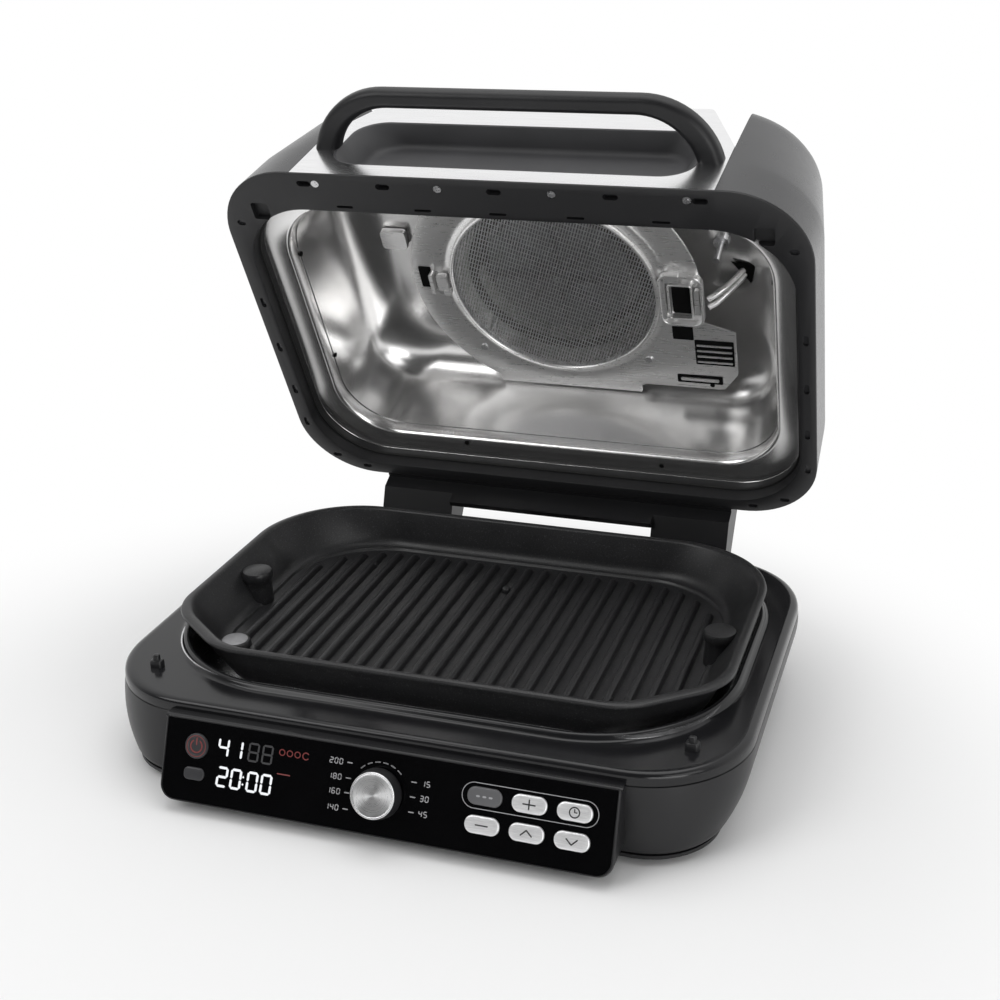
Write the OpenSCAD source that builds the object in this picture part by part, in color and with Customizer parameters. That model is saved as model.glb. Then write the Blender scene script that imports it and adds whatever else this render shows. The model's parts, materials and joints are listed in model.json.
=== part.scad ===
// Countertop air fryer grill: a base with a control panel and a lift-out grill plate, and a
// hinged lid that holds a fan and a heating element. Drawn with the lid open.
// Millimetres. X runs to the right, Y to the rear and Z up.

/* [Base] */
// Width of the base at the deck
base_w = 450; // [435:1:470]
// Depth of the base at the deck
base_d = 324; // [315:1:345]
// Radius of the base's corners in plan
base_corner_r = 60; // [48:1:64]
// Height of the deck's flat above the counter
deck_z = 67; // [63:1:74]
// Height of the deck's outer skirt
deck_skirt = 9; // [7:0.5:11]
// Thickness of the deck and of its skirt
deck_t = 3; // [2:0.5:4]
// Rise of the lip round the well above the deck
lip_rise = 4; // [2:0.5:4.5]
// Width of the slope that leads up to the lip
lip_run = 9; // [5:0.5:10]
// Wall of the housing
housing_wall = 2.5; // [2:0.5:4]
// How far each side of the housing draws in at the bottom
housing_taper = 16; // [8:1:20]
// Gap under the housing
ground_gap = 8; // [7:0.5:11]
// Thickness of the bottom cover
cover_t = 2.5; // [2:0.5:3.5]
// Diameter of a rubber foot
foot_d = 24; // [18:1:30]

/* [Grill plate] */
// Distance from the base's side to the plate's rim
plate_side_margin = 21; // [19:0.5:27]
// Distance from the base's front edge to the plate's rim
plate_front_margin = 42.6; // [40:0.2:46]
// Radius of the rim's rear corners
plate_corner_r = 77; // [60:1:80]
// Rise of the plate's rim above the deck
plate_rise = 20; // [17:0.5:22]
// Depth of the plate from its rim to its floor
plate_depth = 33; // [30:0.5:34]
// Thickness of the plate
plate_t = 4; // [3:0.5:5]
// How far the floor's edge lies inside the rim
plate_draft = 30; // [24:1:36]
// Width of the rim's flange
flange_w = 6; // [4:0.5:7]
// Distance between ridges
ridge_pitch = 14; // [12:0.5:18]
// Width of a ridge
ridge_w = 5; // [4:0.5:6]
// Height of a ridge
ridge_h = 4.5; // [3:0.5:6]
// Distance from the base's rear edge to the plate's rim
plate_rear_margin = 19.4; // [18:0.2:24]

/* [Control panel] */
// Distance from the base's side to the fascia
panel_side_margin = 70.5; // [69:0.5:75]
// Height of the fascia along its slope
panel_h = 54; // [52:0.5:56]
// Lean of the fascia from upright
panel_lean = 23.5; // [20:0.5:27]
// Width of the frame round the fascia
panel_border = 5; // [4:0.5:6]
// Thickness of the fascia
panel_t = 3; // [2.5:0.25:3.5]
// Diameter of the dial
dial_d = 33; // [28:0.5:36]
// Height of the dial
dial_h = 10; // [8:0.5:14]
// Width of a key
key_w = 23; // [20:0.5:25]
// Height of a key
key_h = 11.4; // [10:0.2:13]
// Distance between keys across
key_pitch_x = 29.2; // [27:0.2:30]
// Distance between keys down the slope
key_pitch_v = 18; // [16:0.5:19]
// Travel of the keys and of the dial when pushed
key_travel = 1; // [0.6:0.1:1]

/* [Lid] */
// Gap between the deck and the closed lid's rim
lid_gap = 5; // [5:0.5:7]
// How far the lid stands in from the base at each side
lid_inset = 3; // [2:0.5:5]
// Height of the lid above its rim plane
lid_h = 160; // [158:1:172]
// Lean of the lid's front from upright
front_lean = 13.5; // [11:0.5:15]
// Radius between the lid's front and its top
lid_front_r = 35; // [28:1:42]
// Radius between the lid's rear and its top
lid_rear_r = 45; // [36:1:50]
// Height of the rim frame
rim_h = 12; // [10:0.5:14]
// Wall of the lid's shell
shell_t = 2.5; // [2:0.5:3]
// Width of a cheek beside the steel hood
cheek_w = 66; // [64:0.5:69]
// Thickness of the steel hood
hood_t = 1.2; // [1:0.1:2]
// Radius of the hood's upper corners, seen from the front
hood_arch_r = 35; // [28:1:40]
// Gap between the plate's rim and the lid's mouth at each side
mouth_side_gap = 5; // [4.5:0.5:6]
// Gap between the plate's rim and the lid's mouth at the front
mouth_front_gap = 9; // [8:0.5:12]
// Gap between the plate's rim and the lid's mouth at the rear
mouth_rear_gap = 7; // [6:0.5:8]
// Height of the liner's roof above the rim plane
liner_h = 110; // [108:0.5:111]
// Sheet of the liner
liner_t = 1; // [0.8:0.1:1.4]
// Open angle of the lid
open_angle = 63.5; // [55:0.5:66]

/* [Hinge] */
// Distance of the hinge axis behind the base
hinge_back = 37; // [36:0.5:40]
// Height of the hinge axis
hinge_z = 38.5; // [37:0.5:41]
// Distance from the base's side to each arm
arm_margin = 73; // [69:1:77]
// Width of an arm
arm_w = 64; // [56:1:66]
// Diameter of a hinge pin
pin_d = 8; // [6:0.5:9]
// Radius of an arm's barrel
barrel_r = 14; // [13:0.5:15]

/* [Handle] */
// How far the handle stands out, square to the hood's face
handle_reach = 46; // [40:1:52]
// Distance from the hood's side to the handle
handle_margin = 1; // [0.5:0.5:6]
// Thickness of the handle's bar, seen from above
handle_t = 14; // [11:0.5:17]
// Thickness of the handle's legs, seen from above
handle_leg_t = 18; // [14:0.5:21]
// Radius of the handle's outer corners
handle_r = 59; // [48:1:62]
// Height of the bar, seen from the front
handle_bar_h = 14; // [11:0.5:18]
// Height of a leg where it meets the hood
handle_foot_h = 17; // [14:0.5:24]
// Distance from the handle's side to the pocket
pocket_margin = 20; // [17:0.5:26]
// Height of the pocket
pocket_h = 78; // [66:1:82]
// Radius of the pocket's corners
pocket_r = 24; // [16:1:30]
// Depth of the pocket
pocket_depth = 20; // [15:0.5:21]

/* [Fan] */
// Radius of the splatter shield
shield_r = 88; // [80:1:92]
// Height of the fan guard above the rim plane
guard_u = 84; // [82:0.5:85]
// Radius of the convection fan
fan_r = 60; // [50:1:64]
// Diameter of the fan's shaft
shaft_d = 6; // [5:0.5:7]

/* [Hidden] */
$fn = 64;
// Facets of the outlines that are blended
blend_fn = 32;
slice_t = 0.02;
// Clearances
part_gap = 0.3;
run_gap = 0.05;
seat_gap = 0.02;
big = 1000;

// Heights in the base
cover_z = ground_gap - cover_t;
housing_top_z = deck_z - deck_skirt;
rim_z = deck_z + lid_gap;
plate_rim_z = deck_z + plate_rise;
plate_floor_z = plate_rim_z - plate_depth;
plate_under_z = plate_floor_z - plate_t;
well_floor_z = plate_under_z - 23;
flange_t = 4;

// Plate and well in plan
plate_w = base_w - 2*plate_side_margin;
plate_d = base_d - plate_front_margin - plate_rear_margin;
plate_y = base_d/2 - plate_rear_margin - plate_d/2;
corner_cut_x = 26;
corner_cut_y = 70;
well_front_gap = 11;
well_rear_gap = 7;
well_tuck = 3;
well_w = plate_w - 2*well_tuck;
well_d = plate_d + well_front_gap + well_rear_gap;
well_y = plate_y + (well_rear_gap - well_front_gap)/2;
well_r = plate_corner_r + 3;
liner_gap = 0.5;
well_sheet = 1;
well_flange = 6;

// Lid in plan, with the lid closed
lid_w = base_w - 2*lid_inset;
lid_d = base_d;
lid_corner_r = base_corner_r;
lid_corner_grow = 6;
side_break_u = 45;
side_lean = 9;
rear_lean = 6;
side_r = 40;
rim_lip = 2;
hood_w = lid_w - 2*cheek_w;
cheek_x = hood_w/2 + part_gap;
handle_w = hood_w - 2*handle_margin;
pocket_w = handle_w - 2*pocket_margin;
hood_drop = 1;
shoulder_u = 73.5;
shoulder_lean = 23;
valley_rise = 35;
valley_u = liner_h + 4;
mouth_w = plate_w + 2*mouth_side_gap;
mouth_d = plate_d + mouth_front_gap + mouth_rear_gap;
mouth_y = plate_y + (mouth_rear_gap - mouth_front_gap)/2;
mouth_front_y = mouth_y - mouth_d/2;
mouth_r = 58;
liner_flange = 5;
ledge_u = 20;
ledge_in = 20;
ledge_front = 13;
cavity_w = mouth_w - 2*ledge_in;
cavity_d = mouth_d - ledge_in - ledge_front;
cavity_y = mouth_y + (ledge_front - ledge_in)/2;
cavity_r = mouth_r - 8;
roof_in_x = 35;
roof_in_y = 26;
roof_turn = 13;
knee_in = 5;
knee_drop = 32;
knee_u = liner_h - knee_drop;
seal_w = 2.2;
seal_h = 2;

// Hinge
hinge_y = base_d/2 + hinge_back;
arm_x = base_w/2 - arm_margin - arm_w;
skirt_t = 5;
skirt_drop = 22;
skirt_clear = 2;
bridge_in = 20;
bridge_rise = 20;
ear_t = 8;
ear_gap = 0.5;
ear_r = 12;
ear_in_x = arm_x - ear_gap - ear_t;
ear_out_x = arm_x + arm_w + ear_gap;
bracket_t = 4;
bracket_z = [ground_gap + 6, rim_z - skirt_drop - skirt_clear];
bush_wall = 3;
arm_clear = 3;

// Fan stack on the lid's middle
fan_y = mouth_y - 3.6;
guard_t = 1.2;
guard_w = 24;
guard_hole_r = shield_r - 4;
guard_r = shield_r + guard_w;
shield_h = 4.5;
shield_ring_w = 8;
wire_pitch = 3.2;
wire_w = 1.7;
tab_w = 126;
tab_gap = 12.5;
tab_reach = cavity_d/2 - tab_gap;
fan_disc_u = liner_h - 7;
fan_blade_h = 11;
plate_sheet = 2;
motor_clear = 5.8;
motor_stack = lid_h - hood_drop - hood_t - motor_clear - liner_h - 2*plate_sheet;
bracket_gap = motor_stack/2 - 1;
bracket_size = [120, 90];
hood_back_y = fan_y + bracket_size.y/2 + 10;
motor_r = 32;
motor_h = motor_stack - bracket_gap;
motor_u = liner_h + 2*plate_sheet + bracket_gap;
element_r = fan_r + 12;
element_tube_r = 3.5;
element_u = guard_u + 11;

// Panel frame: origin at the middle of the fascia's upper edge
panel_w = base_w - 2*panel_side_margin;
panel_step = 7.6;
panel_drop = 7.5;
panel_top_y = -base_d/2 - panel_step;
panel_top_z = deck_z - panel_drop;
frame_proud = 0.6;
frame_top = 4;
fascia_corner_r = 10;
console_under_z = ground_gap - 2;
key_gap = 0.3;
key_proud = 1.2;
key_rim = 1;
board_n = -10;
board_t = 1.6;
switch_n = -6.4;
key_foot_n = switch_n + key_travel + 0.2;
dial_v = panel_h/2;
keys_margin = 54.8;
keys_x = panel_w/2 - keys_margin;
keys_v = panel_h/2;
power_margin = 22.5;
power_x = power_margin - panel_w/2;
power_v = 17;
power_d = 17;
side_key_v = 35.5;
side_key_w = 15;
side_key_h = 8.6;

// Grease cup between the hinge brackets
cup_wall = 1.6;
cup_flange_t = 2;
cup_w = 2*(ear_in_x - 6);
cup_flange_w = 2*(ear_in_x - 1);
cup_y = [base_d/2 + 1.5, hinge_y - 3];
cup_z = [ground_gap + 4, hinge_z + 5];
runner_h = 3;

// Deck pegs that enter the lid's rim
peg_x = base_w/2 - 35;
peg_y = -base_d/2 + 39;
peg_size = [9, 7, 9];

// The part's origin is under the middle of its box with the lid open
front_reach_y = panel_top_y - (panel_h + panel_border)*sin(panel_lean) - frame_proud*cos(panel_lean);
rear_round = side_round(lid_d/2, rear_lean, lid_h, lid_rear_r);
rear_reach_y = hinge_y + (rear_round.x - hinge_y)*cos(open_angle)
    + (rear_round.y + rim_z - hinge_z)*sin(open_angle) + lid_rear_r;
frame_y = -(front_reach_y + rear_reach_y)/2;

// Centre of the round between a leaning wall that starts at reach and a top at height h
function side_round(reach, lean, h, r) = [reach - tan(lean)*(h - r) - r/cos(lean), h - r];

// Points of a round from angle a to angle b, and the mirrored points of a half outline
arc_steps = 12;
function arc(c, r, a, b) = [for (i = [0 : arc_steps])
    let (q = a + (b - a)*i/arc_steps) c + r*[cos(q), sin(q)]];
function flipped(points) = [for (i = [len(points) - 1 : -1 : 0]) [-points[i].x, points[i].y]];

// Frames
module in_base() translate([0, frame_y, 0]) children();

module in_lid() in_base() translate([0, hinge_y, hinge_z]) rotate([-open_angle, 0, 0])
    translate([0, -hinge_y, rim_z - hinge_z]) children();

module on_panel(x = 0, v = 0) in_base() translate([0, panel_top_y, panel_top_z])
    rotate([90 - panel_lean, 0, 0]) translate([x, -v, 0]) children();

module on_hood() translate([0, -lid_d/2, 0]) rotate([90 - front_lean, 0, 0]) children();

module at_fan(u = 0) in_lid() translate([0, fan_y, u]) children();

// Shapes
module rounded(w, d, r) {
    square([w - 2*r, d], center = true);
    square([w, d - 2*r], center = true);
    for (sx = [-1, 1], sy = [-1, 1]) translate([sx*(w/2 - r), sy*(d/2 - r)]) circle(r);
}

module slab(w, d, r, z0, z1, y = 0) translate([0, y, z0]) linear_extrude(z1 - z0) rounded(w, d, r);

module block(x, y, z) translate([x[0], y[0], z[0]]) cube([x[1] - x[0], y[1] - y[0], z[1] - z[0]]);

module both_sides() for (s = [-1, 1]) scale([s, 1, 1]) children();

module along_x(l) rotate([90, 0, 90]) linear_extrude(l, center = true) children();

module along_y(l) rotate([90, 0, 0]) linear_extrude(l, center = true) children();

module pill(w, h) rounded(w, h, h/2 - 0.01);

// Convex solid through round-cornered outlines: each slice is [z, width, depth, middle y, radius]
module loft(slices) hull() for (s = slices) translate([0, s[3], s[0]])
    linear_extrude(slice_t) rounded(s[1], s[2], s[4], $fn = blend_fn);

// Base
module housing_form(t, over) loft([
    [ground_gap - over, base_w - 2*housing_taper - 2*t, base_d - 2*t, 0, base_corner_r - 12 - t],
    [(ground_gap + housing_top_z)/2 - 4, base_w - 8 - 2*t, base_d - 2*t, 0, base_corner_r - 2 - t],
    [housing_top_z + over - slice_t, base_w - 2*t, base_d - 2*t, 0, base_corner_r - t]]);

console_window = [panel_w/2 - 9, ground_gap + 4, housing_top_z - 2];
gland_r = 8;
gland_x = ear_out_x + ear_t + gland_r + 4;
screw_x = base_w/2 - housing_taper - housing_wall - 6;
screw_ys = [-base_d/2 + base_corner_r + 10, 0, base_d/2 - base_corner_r - 10];
boss_r = 5;
boss_h = 12;
screw_r = 1.5;

module at_cover_screws() both_sides() for (y = screw_ys) translate([screw_x, y, 0]) children();

module base_housing() color([0.13, 0.13, 0.14]) in_base() difference() {
    union() {
        difference() {
            housing_form(0, 0);
            housing_form(housing_wall, 1);
        }
        at_cover_screws() translate([0, 0, ground_gap]) {
            cylinder(r = boss_r, h = boss_h);
            translate([0, -1, 0]) cube([6 + housing_wall/2, 2, boss_h]);
        }
    }
    block([-console_window[0], console_window[0]], [-base_d, -base_d/2 + 2*housing_wall],
        [console_window[1], console_window[2]]);
    translate([gland_x, base_d/2, hinge_z]) rotate([90, 0, 0])
        cylinder(r = gland_r + run_gap, h = 30, center = true);
    at_cover_screws() translate([0, 0, ground_gap - 1]) cylinder(r = screw_r + run_gap, h = boss_h - 1);
}

module base_deck() color([0.15, 0.15, 0.16]) in_base() difference() {
    union() {
        loft([[housing_top_z, base_w, base_d, 0, base_corner_r],
            [deck_z - 5, base_w, base_d, 0, base_corner_r],
            [deck_z - 1.5, base_w - 3, base_d - 3, 0, base_corner_r - 1.5],
            [deck_z - slice_t, base_w - 10, base_d - 10, 0, base_corner_r - 5]]);
        loft([[deck_z - deck_t/2, well_w + 2*lip_run, well_d + 2*lip_run, well_y, well_r + lip_run],
            [deck_z + lip_rise - slice_t, well_w + 4, well_d + 4, well_y, well_r + 2]]);
    }
    slab(base_w - 2*deck_t, base_d - 2*deck_t, base_corner_r - deck_t, housing_top_z - 1, deck_z - deck_t);
    slab(well_w, well_d, well_r, housing_top_z, deck_z + lip_rise + 1, well_y);
}

board_size = [110, 84];
board_at = [-90, 10];
standoff_h = 6;

module bottom_cover() color([0.1, 0.1, 0.1]) in_base() difference() {
    union() {
        slab(base_w - 2*housing_taper - 1, base_d - 1, base_corner_r - 12.5, cover_z, ground_gap);
        for (sx = [-1, 1], sy = [-1, 1]) translate([board_at.x + sx*(board_size.x/2 - 6),
            board_at.y + sy*(board_size.y/2 - 6), ground_gap]) cylinder(r = 4, h = standoff_h);
    }
    at_cover_screws() translate([0, 0, cover_z - 1]) cylinder(r = screw_r + run_gap, h = cover_t + 2);
    for (i = [-4 : 4]) translate([70 + 9*i, -20, cover_z - 1]) linear_extrude(cover_t + 2) pill(4, 60);
}

foot_x = base_w/2 - housing_taper - 34;
foot_y = base_d/2 - 30;

module rubber_feet() color([0.05, 0.05, 0.05]) in_base() for (sx = [-1, 1], sy = [-1, 1])
    translate([sx*foot_x, sy*foot_y, 0]) cylinder(d = foot_d, h = cover_z);

module cover_screws() color("silver") in_base() at_cover_screws() {
    translate([0, 0, cover_z - 1.8]) cylinder(r = 3.2, h = 1.8);
    translate([0, 0, cover_z - 1]) cylinder(r = screw_r, h = boss_h);
}

module deck_pegs() color([0.12, 0.12, 0.12]) in_base() both_sides()
    translate([peg_x, peg_y, deck_z]) {
        linear_extrude(peg_size.z - 3) square([peg_size.x, peg_size.y], center = true);
        linear_extrude(peg_size.z) square([peg_size.x - 4, peg_size.y - 3], center = true);
    }

module well_liner() color([0.75, 0.75, 0.77]) in_base() difference() {
    union() {
        slab(well_w - 2*liner_gap, well_d - 2*liner_gap, well_r - liner_gap,
            well_floor_z, deck_z + lip_rise - 1, well_y);
        slab(well_w + 2*well_flange, well_d + 2*well_flange, well_r + well_flange,
            deck_z - deck_t - 1.2, deck_z - deck_t, well_y);
    }
    slab(well_w - 2*(liner_gap + well_sheet), well_d - 2*(liner_gap + well_sheet),
        well_r - liner_gap - well_sheet, well_floor_z + well_sheet, deck_z + lip_rise, well_y);
    for (s = [-1, 1]) translate([s*terminal_x, loop_rear_y, 0]) cylinder(r = loop_tube_r + 1, h = deck_z);
}

well_top_z = well_floor_z + well_sheet;
rest_in = [30, 26];
rest_x = plate_w/2 - plate_draft - rest_in.x;
rest_y = plate_d/2 - plate_draft - rest_in.y;

module plate_rests() color([0.6, 0.6, 0.62]) in_base() for (sx = [-1, 1], sy = [-1, 1])
    translate([sx*rest_x, plate_y + sy*rest_y, well_top_z]) {
        cylinder(r = 9, h = 3);
        cylinder(r = 5, h = plate_under_z - part_gap - well_top_z);
    }

// Lower heating element: a loop that is open at the rear, with two terminals down through the well
loop_tube_r = 4;
loop_x = plate_w/2 - plate_draft - 50;
loop_y = plate_d/2 - plate_draft - 45;
loop_r = 34;
loop_z = plate_under_z - 9;
terminal_x = 30;
loop_rear_y = plate_y + loop_y;

module tube(l, r) rotate([90, 0, 0]) cylinder(r = r, h = l, center = true);

module lower_element() color([0.25, 0.24, 0.24]) in_base() translate([0, plate_y, loop_z]) {
    both_sides() {
        translate([loop_x, 0, 0]) tube(2*(loop_y - loop_r), loop_tube_r);
        for (sy = [-1, 1]) translate([loop_x - loop_r, sy*(loop_y - loop_r), 0])
            rotate([0, 0, sy > 0 ? 0 : -90])
                rotate_extrude(angle = 90) translate([loop_r, 0]) circle(loop_tube_r);
        translate([(terminal_x + loop_x - loop_r)/2, loop_y, 0]) rotate([0, 0, 90])
            tube(loop_x - loop_r - terminal_x, loop_tube_r);
        translate([terminal_x, loop_y, 0]) sphere(loop_tube_r);
        translate([terminal_x, loop_y, ground_gap + 4 - loop_z])
            cylinder(r = loop_tube_r, h = loop_z - ground_gap - 4);
    }
    translate([0, -loop_y, 0]) rotate([0, 0, 90]) tube(2*(loop_x - loop_r), loop_tube_r);
}

loop_clip = [14, 10];

module element_clips() color([0.6, 0.6, 0.62]) in_base() both_sides() for (sy = [-1, 1])
    translate([loop_x, plate_y + sy*(loop_y - loop_r)*0.7, well_top_z]) difference() {
        linear_extrude(loop_z - well_top_z) square(loop_clip, center = true);
        translate([0, 0, loop_z - well_top_z]) tube(2*loop_clip.y, loop_tube_r + part_gap);
    }

module plate_sensor() color("silver") in_base() translate([0, plate_y, well_top_z]) {
    cylinder(r = 10, h = 6);
    cylinder(r = 6, h = plate_under_z - part_gap - well_top_z);
}

// Grill plate: outline with round rear corners and cut front corners, drawn in by d
module plate_outline(d) {
    r = plate_corner_r - d*0.35;
    f = 20;
    w = plate_w/2 - d;
    h = plate_d/2 - d;
    hull() {
        both_sides() {
            translate([w - r, h - r]) circle(r, $fn = 2*blend_fn);
            translate([w - f, -h + corner_cut_y]) circle(f, $fn = blend_fn);
            translate([w - corner_cut_x - f, -h + f]) circle(f, $fn = blend_fn);
        }
    }
}

module plate_loft(levels) hull() for (l = levels)
    translate([0, 0, l[0]]) linear_extrude(slice_t) plate_outline(l[1]);

lug_y = 22;
lug_r = 9;
ridge_count = 2*floor((plate_w/2 - plate_draft - 14)/ridge_pitch);

module grill_plate() color([0.1, 0.1, 0.1]) in_base() translate([0, plate_y, 0]) {
    difference() {
        union() {
            plate_loft([[plate_under_z, plate_draft - 1], [plate_under_z + 5, plate_draft - 4],
                [plate_rim_z - slice_t, flange_w - 1]]);
            translate([0, 0, plate_rim_z - flange_t]) linear_extrude(flange_t) plate_outline(0);
        }
        plate_loft([[plate_floor_z, plate_draft + 2], [plate_floor_z + 5, plate_draft - 1],
            [plate_rim_z + 1, flange_w + plate_t - 2]]);
    }
    intersection() {
        for (i = [0 : ridge_count - 1]) translate([(i - (ridge_count - 1)/2)*ridge_pitch, 0, plate_floor_z])
            along_y(plate_d) polygon([[-ridge_w/2, -1], [ridge_w/2, -1],
                [ridge_w/2 - 1, ridge_h], [1 - ridge_w/2, ridge_h]]);
        slab(plate_w - 2*plate_draft - 20, plate_d - 2*plate_draft - 26, 52, plate_floor_z - 1, plate_rim_z);
    }
    both_sides() for (sy = [-1, 1]) translate([plate_w/2 - plate_draft + 4, sy*lug_y, plate_floor_z - 1])
        cylinder(r = lug_r, h = plate_depth*0.6);
}

// Control panel: outlines hang from the fascia's upper edge
module hanging(w, h, r) {
    translate([-w/2, -h + r]) square([w, h - r]);
    translate([-w/2 + r, -h]) square([w - 2*r, r + 1]);
    for (s = [-1, 1]) translate([s*(w/2 - r), -h + r]) circle(r);
}

module console_frame() color([0.16, 0.16, 0.17]) difference() {
    on_panel() difference() {
        translate([0, frame_top, -60]) linear_extrude(60 + frame_proud)
            hanging(panel_w + 2*panel_border, panel_h + frame_top + panel_border,
                fascia_corner_r + panel_border - 2);
        translate([0, part_gap, -panel_t]) linear_extrude(panel_t + 1)
            hanging(panel_w + 2*part_gap, panel_h + 2*part_gap, fascia_corner_r);
        translate([0, -3, -61]) linear_extrude(62) hanging(panel_w - 8, panel_h - 7, fascia_corner_r - 4);
    }
    in_base() block([-base_w, base_w], [-base_d/2, base_d], [-big, big]);
    in_base() block([-base_w, base_w], [-base_d, base_d], [-big, console_under_z]);
}

key_places = [for (row = [0, 1], col = [-1 : 1])
    [keys_x + col*key_pitch_x, keys_v + (row - 0.5)*key_pitch_v]];
post_margin = 8.5;
post_gap = 10;
post_v = [12, 42];
board_post = [[post_margin - panel_w/2, dial_v], [-dial_d/2 - post_gap, post_v[1]],
    [dial_d/2 + post_gap, post_v[1]], [dial_d/2 + post_gap, post_v[0]]];

module fascia() color([0.02, 0.02, 0.02]) {
    difference() {
        on_panel() translate([0, 0, -panel_t])
            linear_extrude(panel_t) hanging(panel_w, panel_h, fascia_corner_r - 0.5);
        for (p = key_places) on_panel(p[0], p[1]) translate([0, 0, -panel_t - 1])
            linear_extrude(panel_t + 2) pill(key_w + 2*key_gap, key_h + 2*key_gap);
        on_panel(power_x, side_key_v) translate([0, 0, -panel_t - 1])
            linear_extrude(panel_t + 2) pill(side_key_w + 2*key_gap, side_key_h + 2*key_gap);
        on_panel(power_x, power_v) translate([0, 0, -panel_t - 1])
            cylinder(d = power_d + 2*key_gap, h = panel_t + 2);
        on_panel(0, dial_v) translate([0, 0, -panel_t - 1]) cylinder(d = shaft_d + 2, h = panel_t + 2);
    }
    for (p = board_post) on_panel(p[0], p[1])
        translate([0, 0, board_n]) cylinder(r = 3, h = -board_n - panel_t);
}

display_size = [62, 38];
display_t = 4.4;
display_at = [power_x + power_d/2 + 8.5 + display_size.x/2, dial_v - 2];

module display_module() color([0.2, 0.02, 0.02]) on_panel(display_at.x, display_at.y)
    translate([0, 0, -panel_t - display_t - 0.1])
        linear_extrude(display_t) square(display_size, center = true);

board_margin = [6, 8];

module key_switch() translate([0, 0, board_n]) linear_extrude(switch_n - board_n) square(6, center = true);

module control_board() color([0.05, 0.3, 0.15]) {
    on_panel(0, dial_v) translate([0, 0, board_n - board_t]) linear_extrude(board_t)
        square([panel_w - 2*board_margin.x, panel_h - 2*board_margin.y], center = true);
    for (p = key_places) on_panel(p[0], p[1]) key_switch();
    on_panel(power_x, power_v) key_switch();
    on_panel(power_x, side_key_v) key_switch();
}

module key(w, h) {
    translate([0, 0, -panel_t - 0.5]) linear_extrude(panel_t + 0.5 + key_proud) pill(w, h);
    translate([0, 0, -panel_t - 1.2]) linear_extrude(1) pill(w + 2*key_rim, h + 2*key_rim);
    translate([0, 0, key_foot_n]) cylinder(d = 3.5, h = -panel_t - key_foot_n);
}

module numbered_key(i) color(i == 0 ? [0.2, 0.2, 0.2] : [0.75, 0.75, 0.76])
    on_panel(key_places[i][0], key_places[i][1]) key(key_w, key_h);

module key_1() numbered_key(0);
module key_2() numbered_key(1);
module key_3() numbered_key(2);
module key_4() numbered_key(3);
module key_5() numbered_key(4);
module key_6() numbered_key(5);

module side_button() color([0.2, 0.2, 0.2]) on_panel(power_x, side_key_v) key(side_key_w, side_key_h);

module power_button() color([0.3, 0.05, 0.05]) on_panel(power_x, power_v) {
    translate([0, 0, -panel_t - 0.5]) cylinder(d = power_d, h = panel_t + 0.5 + key_proud);
    translate([0, 0, -panel_t - 1.2]) cylinder(d = power_d + 2*key_rim, h = 1);
    translate([0, 0, key_foot_n]) cylinder(d = 3.5, h = -panel_t - key_foot_n);
}

dial_lift = key_travel + 0.6;
dial_cap_t = 0.8;
encoder_top_n = -panel_t - 1;

module encoder_body() color([0.5, 0.5, 0.5]) on_panel(0, dial_v) difference() {
    translate([0, 0, board_n]) linear_extrude(encoder_top_n - board_n) square(14, center = true);
    translate([0, 0, board_n - 1]) cylinder(d = shaft_d + 2*run_gap, h = 20);
}

module encoder_shaft() color("silver") on_panel(0, dial_v)
    translate([0, 0, board_n + key_travel + 0.5])
        cylinder(d = shaft_d, h = dial_lift + dial_h - 4 - board_n - key_travel - 0.5);

module dial_knob() color([0.1, 0.1, 0.1]) on_panel(0, dial_v) difference() {
    union() {
        translate([0, 0, dial_lift]) cylinder(d = dial_d, h = 3);
        translate([0, 0, dial_lift + 3]) cylinder(d1 = dial_d, d2 = dial_d - 3, h = dial_h - 3);
    }
    translate([0, 0, dial_lift - 1]) cylinder(d = shaft_d + 2*run_gap, h = dial_h - 2);
}

module dial_cap() color("silver") on_panel(0, dial_v)
    translate([0, 0, dial_lift + dial_h]) cylinder(d = dial_d - 3, h = dial_cap_t);

module power_board() color([0.05, 0.25, 0.12]) in_base()
    translate([board_at.x, board_at.y, ground_gap + standoff_h]) {
    linear_extrude(board_t) square(board_size, center = true);
    translate([-26, 14, board_t]) linear_extrude(6) square([30, 24], center = true);
    translate([22, -12, board_t]) linear_extrude(5) square([18, 14], center = true);
}

module cord_gland() color([0.08, 0.08, 0.08]) in_base()
    translate([gland_x, base_d/2, hinge_z]) rotate([-90, 0, 0])
    difference() {
        union() {
            translate([0, 0, -housing_wall - 4]) cylinder(r = gland_r, h = housing_wall + 4);
            cylinder(r = gland_r + 2, h = 10);
        }
        translate([0, 0, -20]) cylinder(r = gland_r/2, h = 40);
    }

// Hinge: ears on the base carry the pins, and the lid's arms turn on them between the ears
module at_hinge() translate([0, hinge_y, hinge_z]) children();

module ear_profile() {
    translate([hinge_y, hinge_z]) circle(ear_r);
    polygon([[base_d/2, bracket_z[0]], [hinge_y, hinge_z - ear_r], [hinge_y, hinge_z + ear_r],
        [base_d/2 + bracket_t, bracket_z[1]], [base_d/2, bracket_z[1]]]);
}

bracket_hole = [arm_x + 14, arm_x + arm_w - 14];
bracket_hole_z = bracket_z[0] + 8;

module at_bracket_screws() for (sx = [-1, 1], x = bracket_hole) translate([sx*x, base_d/2, bracket_hole_z])
    rotate([-90, 0, 0]) children();

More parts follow.
